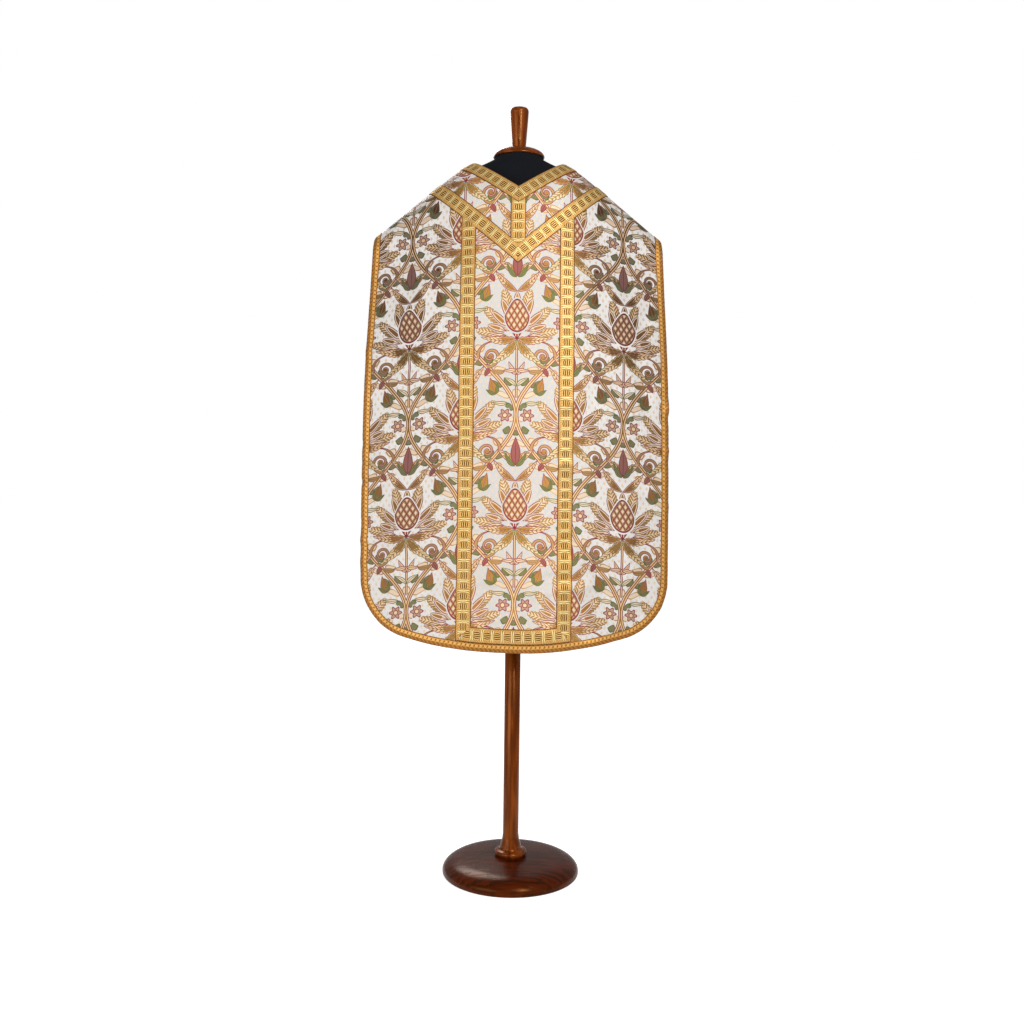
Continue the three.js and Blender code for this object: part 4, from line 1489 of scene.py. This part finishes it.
def fruit(figure, x, y):
    """A pointed fruit under a net, with pips."""
    lift = y - 10
    drawn_in = x * (1 + clip(lift / 50) * 0.9)
    depth = 25 - root(drawn_in * drawn_in + lift * lift * 0.549)
    figure.paint(edge(depth + 3), GROUND)
    figure.outlined(depth, ROSE, TAN, 2.6)
    lozenge = lozenges(x, lift, FRUIT_PITCH)
    inside = edge(depth - 2.6)
    figure.paint(edge((lozenge - 0.41) * FRUIT_PITCH) * inside, ROSE)
    figure.paint(edge((0.24 - lozenge) * FRUIT_PITCH) * inside, CREAM)


def rosette(figure, x, y):
    """A six-petalled flower where the garlands meet."""
    x = x - (HALF_W - 23)
    far = distance(x, y)
    depth = 11.5 + 2.6 * cosine(turn_of(y, x) * 6) - far
    figure.paint(edge(depth + 2.4), GROUND)
    figure.outlined(depth, ROSE, PINK, 2.4)
    figure.paint(edge(5.6 - far), ROSE)
    figure.paint(edge(3.9 - far), PEACH)


# %% The brocade group
figure_group, figure_in = new_group(
    "Brocade figure", {"Across": "Float", "Up": "Float"}, {"Threads": "Color"})
figure = Figure(figure_group)
x, y, inside = folded(figure_in["Across"], figure_in["Up"])
seeds(figure, x, y)
garland(figure, y, inside)
scroll(figure, x, y)
stem(figure, x, y)
back_fan(figure, x, y)
palmette(figure, x, y)
leaves(figure, x, y)
cup(figure, x, y)
fruit(figure, x, y)
rosette(figure, x, y)
close_group(figure_group, Threads=figure.threads)
print("nodes in the figure:", len(figure_group.nodes))

# %% [markdown]
# ## Brocade, front and back of the weave
#
# One group turns the threads of the figure into colour, one over the other on the ground. Gold
# has two steps: woven with the white warp it looks peach, and on its own it is full gold.

# %% Thread colours
palette_group, palette = new_group(
    "Thread colours",
    {"Threads": "Color", "Ground": "Color", "Peach": "Color", "Gold": "Color", "Rose": "Color",
     "Green": "Color"},
    {"Color": "Color", "Gold": "Float"})
gold_share, rose_share, green_share = split(palette_group, palette["Threads"])
woven = painted(
    palette_group, palette["Ground"], (clip(gold_share * 2), palette["Peach"]),
    (clip(gold_share * 2 - 1), palette["Gold"]), (rose_share, palette["Rose"]),
    (green_share, palette["Green"]))
close_group(palette_group, Color=woven, Gold=gold_share)
print("nodes in the thread colours:", len(palette_group.nodes))

# %% [markdown]
# Another group gives the surface of the cloth: level ribs about a millimetre apart, slubs where
# the weft is thicker, and glints. Slubs and glints are noise stretched along the weft. Ribs and
# slubs are too fine to model, so they are a bump. The glints are a painted sheen: the brocade
# lightens its colour where they are, and makes the silk smoother there.

# %% Surface of the weave
WEAVE_RIB = 1.25                          # millimetres from rib to rib
weave_group, weave = new_group(
    "Ribbed weave", {"Place": "Vector"}, {"Height": "Float", "Slubs": "Float", "Sheen": "Float"})
level_ribs = cosine(split(weave_group, weave["Place"])[1] * (2 * math.pi / WEAVE_RIB)) * 0.5
slubs = noise(weave_group, times(weave_group, weave["Place"], (0.11, 0.8, 1)), 1.0)
glints = noise(weave_group, times(weave_group, weave["Place"], (0.35, 0.6, 1)), 1.0, 3)
close_group(weave_group, Height=level_ribs + slubs * 1.6, Slubs=slubs, Sheen=glints)
print("ribs on 100 mm of cloth:", round(100 / WEAVE_RIB))

# %% [markdown]
# The gold of the figure is a flat metal strip. In the middle of the vestment it is painted pale,
# as if it faced the light. On the sides, where the cloth turns away, each thread is painted
# darker, most of all high up: that is painted shade, and the silver ground there is painted a
# little lighter. So the cloth has a lit and a shaded colour for each thread, and its place chooses
# between them. It is the place on the flat cloth, so the choice stays the same from every side.

# %% Face of the brocade
FIGURE_DOWN = 402.0                       # puts a fruit in the middle of the column
YOKE_FIGURE_DOWN = FIGURE_DOWN - 150      # the yokes are cut from another part of the cloth
SILK_DEPTH = 0.16 * MM

# each thread lit in the middle, and in painted shade on the sides high up
LIT_AND_SHADED_THREADS = {
    "Peach": ((242, 210, 164), (196, 160, 120)),
    "Gold": ((190, 136, 64), (34, 20, 8)),
    "Rose": ((150, 44, 52), (74, 22, 26)),
    "Green": ((104, 108, 36), (52, 54, 22)),
}


def brocade(name, figure_down):
    material, tree, shader = new_material(name, Specular_IOR_Level=0.25)
    place = flat_place(tree)
    across, up = split(tree, place)[:2]
    drawn = use_group(tree, figure_group, Across=across, Up=up + figure_down)
    weave_of = use_group(tree, weave_group, Place=place)
    turned_away = soft_step(size(across), 1 / 70, -1.36)
    high_up = soft_step(up, 1 / 900, 1.25)
    # painted shade: on the side panels the threads darken, most of all high up
    painted_side_shade = turned_away * (0.34 + 0.56 * high_up)
    threads = {
        label: painted(tree, colour(*bright), (painted_side_shade, colour(*dark)))
        for label, (bright, dark) in LIT_AND_SHADED_THREADS.items()}
    # painted light: the ground on the side panels is a little lighter
    ground = painted(tree, colour(212, 208, 205), (turned_away, colour(220, 216, 213)))
    woven = use_group(tree, palette_group, Threads=drawn["Threads"], Ground=ground, **threads)
    # painted sheen: where the glints are, the colour is lighter and the silk smoother
    glint_paint_and_gloss = soft_step(weave_of["Sheen"], 1.3, -0.15)
    wire(tree, shader,
         Base_Color=times(tree, woven["Color"], 0.84 + glint_paint_and_gloss * 0.26),
         Metallic=0.1 + woven["Gold"] * 0.3, Roughness=0.56 - glint_paint_and_gloss * 0.2,
         Normal=bump(tree, weave_of["Height"], SILK_DEPTH))
    return material


cloth_face = brocade("brocade_silver_and_gold", FIGURE_DOWN)
yoke_face = brocade("brocade_yoke", YOKE_FIGURE_DOWN)
print("nodes in the brocade:", len(cloth_face.node_tree.nodes), "beside its groups")

# %% Reverse of the brocade
cloth_back, tree, shader = new_material("brocade_reverse", Roughness=0.75)
reverse = use_group(tree, weave_group, Place=flat_place(tree))
wire(tree, shader,
     Base_Color=painted(tree, colour(188, 174, 152), (reverse["Slubs"], colour(212, 200, 180))),
     Normal=bump(tree, reverse["Height"], 0.12 * MM))

for node, piece in panels.items():
    piece.data.materials.append(yoke_face if node.startswith("yoke") else cloth_face)
    piece.data.materials.append(cloth_back)
print("brocade on", len(panels), "panels")

# %% [markdown]
# ## Gold braid
#
# The braids are coloured by the same formulas that shaped them, so every slit and block has its
# own colour exactly where it stands in the mesh. The low places are painted red-brown, as painted
# shade: the slits, the gaps between the fans' rays and the edges. The crests of the ribs get a
# painted highlight, and the fans are pale gold.
#
# Both braids have the same age, so one group wears them: it rubs some threads dull, and where
# the gold is gone from a thread its dark core shows as flecks.

# %% Worn metal thread
BRAID_GOLD = colour(216, 164, 90)
# a painted highlight, for the crests of the ribs
BRAID_HIGHLIGHT = colour(250, 208, 128)
BRAID_PALE = colour(255, 236, 166)
# the dark core of worn thread, dark ticks in the border, and painted shade between the fans' rays
BRAID_DEEP_AND_SHADE = colour(122, 72, 24)
# painted shade, for the slits and the edges of the braids
BRAID_SHADE = colour(66, 28, 6)

worn_group, worn = new_group(
    "Worn metal thread",
    {"Place": "Vector", "Color": "Color", "Dull": "Color", "Deep": "Color", "Flecks": "Float"},
    {"Color": "Color"})
rubbed = noise(worn_group, times(worn_group, worn["Place"], (0.9, 0.5, 1)), 1.0, 3)
flecks = noise(worn_group, times(worn_group, worn["Place"], (0.5, 0.6, 1)), 1.0)
close_group(worn_group, Color=painted(
    worn_group, worn["Color"], (soft_step(rubbed, 1.6, -0.75) * 0.35, worn["Dull"]),
    (soft_step(flecks, 7, -3.9) * worn["Flecks"], worn["Deep"])))


def galloon_finish(name, coats, flecks, metallic, roughness):
    """A braid's material. coats(along, across) gives its ground colour and the coats on it."""
    material, tree, shader = new_material(
        name, Metallic=metallic, Roughness=roughness, Specular_IOR_Level=0.15)
    place = flat_place(tree)
    fresh = painted(tree, *coats(*split(tree, place)[:2]))
    aged = use_group(
        tree, worn_group, Place=place, Color=fresh, Dull=BRAID_GOLD, Deep=BRAID_DEEP_AND_SHADE,
        Flecks=flecks)
    wire(tree, shader, Base_Color=aged["Color"])
    return material


print("nodes in the wear:", len(worn_group.nodes))

# %% Galloon, wide and narrow
def wide_coats(along, across):
    slit, rib, ribs, fan, ray, border, tick = braid_parts(along, across)
    serration = edge(size(across) - 13.9 - tick * 1.1, 0.4)
    # painted highlight on the ribs' crests; painted shade in the slits, between the fan's rays and
    # in the serrated band at each edge
    return (
        BRAID_GOLD,
        (ribs * soft_step(rib, -0.8, 1.2), BRAID_HIGHLIGHT),
        (slit, BRAID_SHADE),
        (fan, BRAID_PALE),
        (fan * soft_step(ray, -3, 1.7), BRAID_DEEP_AND_SHADE),
        (soft_step(tick, -2.4, 1.1) * border * 0.8, colour(240, 196, 126)),
        (soft_step(tick, 2.4, -1.3) * border * 0.8, BRAID_DEEP_AND_SHADE),
        (serration * 0.9, BRAID_SHADE),
    )


def narrow_coats(along, across):
    block, rope = edge_braid_parts(along, across)[:2]
    # painted highlight on the crests of the rope, and painted shade along both edges
    return (
        colour(150, 96, 40),
        (rope, colour(204, 144, 70)),
        (soft_step(across, -1 / 4, 0.3) * 0.4, colour(118, 70, 28)),
        (block * 0.8, colour(240, 186, 104)),
        (edge(size(across) - 7.6, 0.6) * 0.7, BRAID_SHADE),
    )


galloon = galloon_finish("galloon_wide", wide_coats, 0.55, metallic=0.6, roughness=0.54)
edge_galloon = galloon_finish("galloon_narrow", narrow_coats, 0.6, metallic=0.5, roughness=0.5)
for node, piece in braids.items():
    piece.data.materials.append(edge_galloon if "edge" in node else galloon)
print("gold on", len(braids), "braids")

# %% [markdown]
# ## The form's own finishes
#
# Black jersey is a fine knit: matt, with rows of tiny loops, too small for anything but a bump.

# %% Jersey
LOOPS_UP, LOOPS_AROUND = 4200, 620        # how fast the loops follow each other, in radians


def own_place(tree):
    """The place in the piece's own space, in metres."""
    return tree.nodes.new("ShaderNodeTexCoord").outputs["Object"]


jersey, tree, shader = new_material("black_jersey", Roughness=0.95, Specular_IOR_Level=0.2)
place = own_place(tree)
x, y, z = split(tree, place)
loops = sine(z * LOOPS_UP) * cosine(turn_of(y, x) * LOOPS_AROUND) * 0.5
fluff = noise(tree, place, 900)
wire(tree, shader, Base_Color=painted(tree, colour(6, 7, 10), (fluff, colour(22, 24, 30))),
     Normal=bump(tree, loops + fluff, 0.3 * MM))
body.data.materials.append(jersey)
print("loops up each millimetre of jersey:", round(LOOPS_UP * MM / (2 * math.pi), 2))

# %% [markdown]
# The wood is mahogany under polish. Its figure is one noise, banded by a sine and stretched
# along the grain: up the pole and the finial, and along X in the neck cap and the foot. The
# polish isn't a coat of its own here: a smooth surface with a warm reflection already gives the
# bright line down the finial. The foot has less gloss, and its wood is painted darker: partly its
# own darker tone and partly painted shade.

# %% Polished wood
grain_group, grain = new_group(
    "Wood grain", {"Place": "Vector", "Dark": "Color", "Light": "Color"},
    {"Color": "Color", "Pores": "Float"})
broad = noise(grain_group, grain["Place"], 1.0, 4)
pores = noise(grain_group, times(grain_group, grain["Place"], (5, 5, 2.2)), 1.0, 3)
bands = sine(broad * 26) * 0.5 + 0.5
dark_pores = edge(pores - 0.66, 0.12)
wood_colour = painted(
    grain_group, grain["Dark"], (bands * 0.75 + pores * 0.25, grain["Light"]),
    (dark_pores * 0.4, colour(30, 12, 6)))
close_group(grain_group, Color=wood_colour, Pores=dark_pores)


def polished_wood(name, dark, light, stretch, gloss=0.6):
    """Wood whose grain runs along the direction that stretch scales least."""
    material, tree, shader = new_material(
        name, Roughness=0.24, Specular_IOR_Level=gloss, Specular_Tint=colour(255, 178, 112))
    wood = use_group(
        tree, grain_group, Place=times(tree, own_place(tree), stretch), Dark=dark, Light=light)
    wire(tree, shader, Base_Color=wood["Color"], Normal=bump(tree, wood["Pores"] * -1, 0.2 * MM))
    return material


MAHOGANY = colour(74, 25, 2), colour(128, 58, 10)
# the foot's wood: its own darker tone with painted shade in it
SHADED_DARK_MAHOGANY = colour(44, 12, 1), colour(82, 28, 5)
upright_wood = polished_wood("polished_wood_upright", *MAHOGANY, (42, 42, 4))
wood_of = {
    "turned_neck_cap": polished_wood("polished_wood_cap", *MAHOGANY, (9, 60, 50)),
    "turned_foot": polished_wood("polished_wood_level", *SHADED_DARK_MAHOGANY, (6, 44, 40), gloss=0.3),
}
for piece in wood_pieces:
    piece.data.materials.append(wood_of.get(piece.name, upright_wood))
print("woods:", {piece.name: piece.data.materials[0].name for piece in wood_pieces})

# %% [markdown]
# ## Studio
#
# A pale room with soft light: a tall lamp right of the middle is the key, a wide one on the
# left fills, and a third picks out the shoulders from behind. Metal threads mirror what is
# round them, so a real light tent would wash them out.

# %% Lights
LAMPS = {
    # place, height aimed at, width, height and power, in metres and watts
    "key_light": ((1.0, -2.35, 2.2), 1.15, 0.5, 1.5, 47),
    "fill_light": ((-2.2, -2.5, 1.3), 1.0, 2.2, 2.0, 38),
    "back_light": ((-0.9, 2.6, 2.7), 1.0, 1.4, 1.4, 32),
}
for name, (place, aim_z, width, height, power) in LAMPS.items():
    lamp = bpy.data.lights.new(name, "AREA")
    lamp.shape = "RECTANGLE"
    lamp.size = width
    lamp.size_y = height
    lamp.energy = power
    holder = placed(name, lamp)
    holder.location = place
    x, y, z = place
    holder.rotation_euler = (
        math.atan2(math.hypot(x, y), z - aim_z), 0, math.atan2(y, x) + math.pi / 2)
print("lamps:", list(LAMPS))

# %% [markdown]
# The room and the floor look white, but they light the cloth with far less than that: in an
# evenly white room the creases would lose their shading. The Light Path node tells the rays
# that come from the camera from those that light the scene, so each gets its own strength.

# %% Room and floor
ROOM_LIGHT, ROOM_SEEN = 0.32, 1.0
FLOOR_LIGHT, FLOOR_SEEN = 0.15, 0.75
FLOOR_DROP = 0.5 * MM                     # keeps the floor clear of the foot's underside


def strength(tree, light, seen):
    """How bright something is: seen for the camera's own rays, and light for all others."""
    path = tree.nodes.new("ShaderNodeLightPath")
    return mix(light, seen, Thread(tree, path.outputs["Is Camera Ray"]))


world = bpy.data.worlds.new("pale_room")
world.use_nodes = True
tree = world.node_tree
wire(tree, tree.nodes["Background"], Color=(1, 1, 1, 1),
     Strength=strength(tree, ROOM_LIGHT, ROOM_SEEN))
bpy.context.scene.world = world
bpy.context.scene.view_settings.view_transform = "Standard"

floor_mesh = bpy.data.meshes.new("floor")
floor_mesh.from_pydata([(-9, -4, 0), (9, -4, 0), (9, 30, 0), (-9, 30, 0)], [], [(0, 1, 2, 3)])
floor = placed("floor", floor_mesh)
floor.location.z = -FLOOR_DROP
floor_finish, tree, shader = new_material(
    "pale_floor", Roughness=0.9, Base_Color=(0.9, 0.9, 0.9, 1), Emission_Color=(1, 1, 1, 1))
wire(tree, shader, Emission_Strength=strength(tree, FLOOR_LIGHT, FLOOR_SEEN))
floor_mesh.materials.append(floor_finish)
print("the room gives", ROOM_LIGHT, "of the light that it shows")

# %% [markdown]
# ## What the sheets were cut from
#
# Each panel's size when laid flat is measured on the meshes: the area from the faces, and
# the width and length from the flat places.

def flat_size(piece):
    """Width and length of the cut, and the area of the outer face, in metres."""
    mesh = piece.data
    flat = np.empty(len(mesh.vertices) * 3, np.float32)
    mesh.attributes["flat"].data.foreach_get("vector", flat)
    across, up = flat.reshape(-1, 3)[:, 0], flat.reshape(-1, 3)[:, 1]
    area = sum(face.area for face in mesh.polygons)
    return float(np.ptp(across)), float(np.ptp(up)), area


for node, piece in panels.items():
    width, length, area = flat_size(piece)
    print(f"{node}: cut {width * 1000:.0f} x {length * 1000:.0f} mm, {area:.4f} square metres")
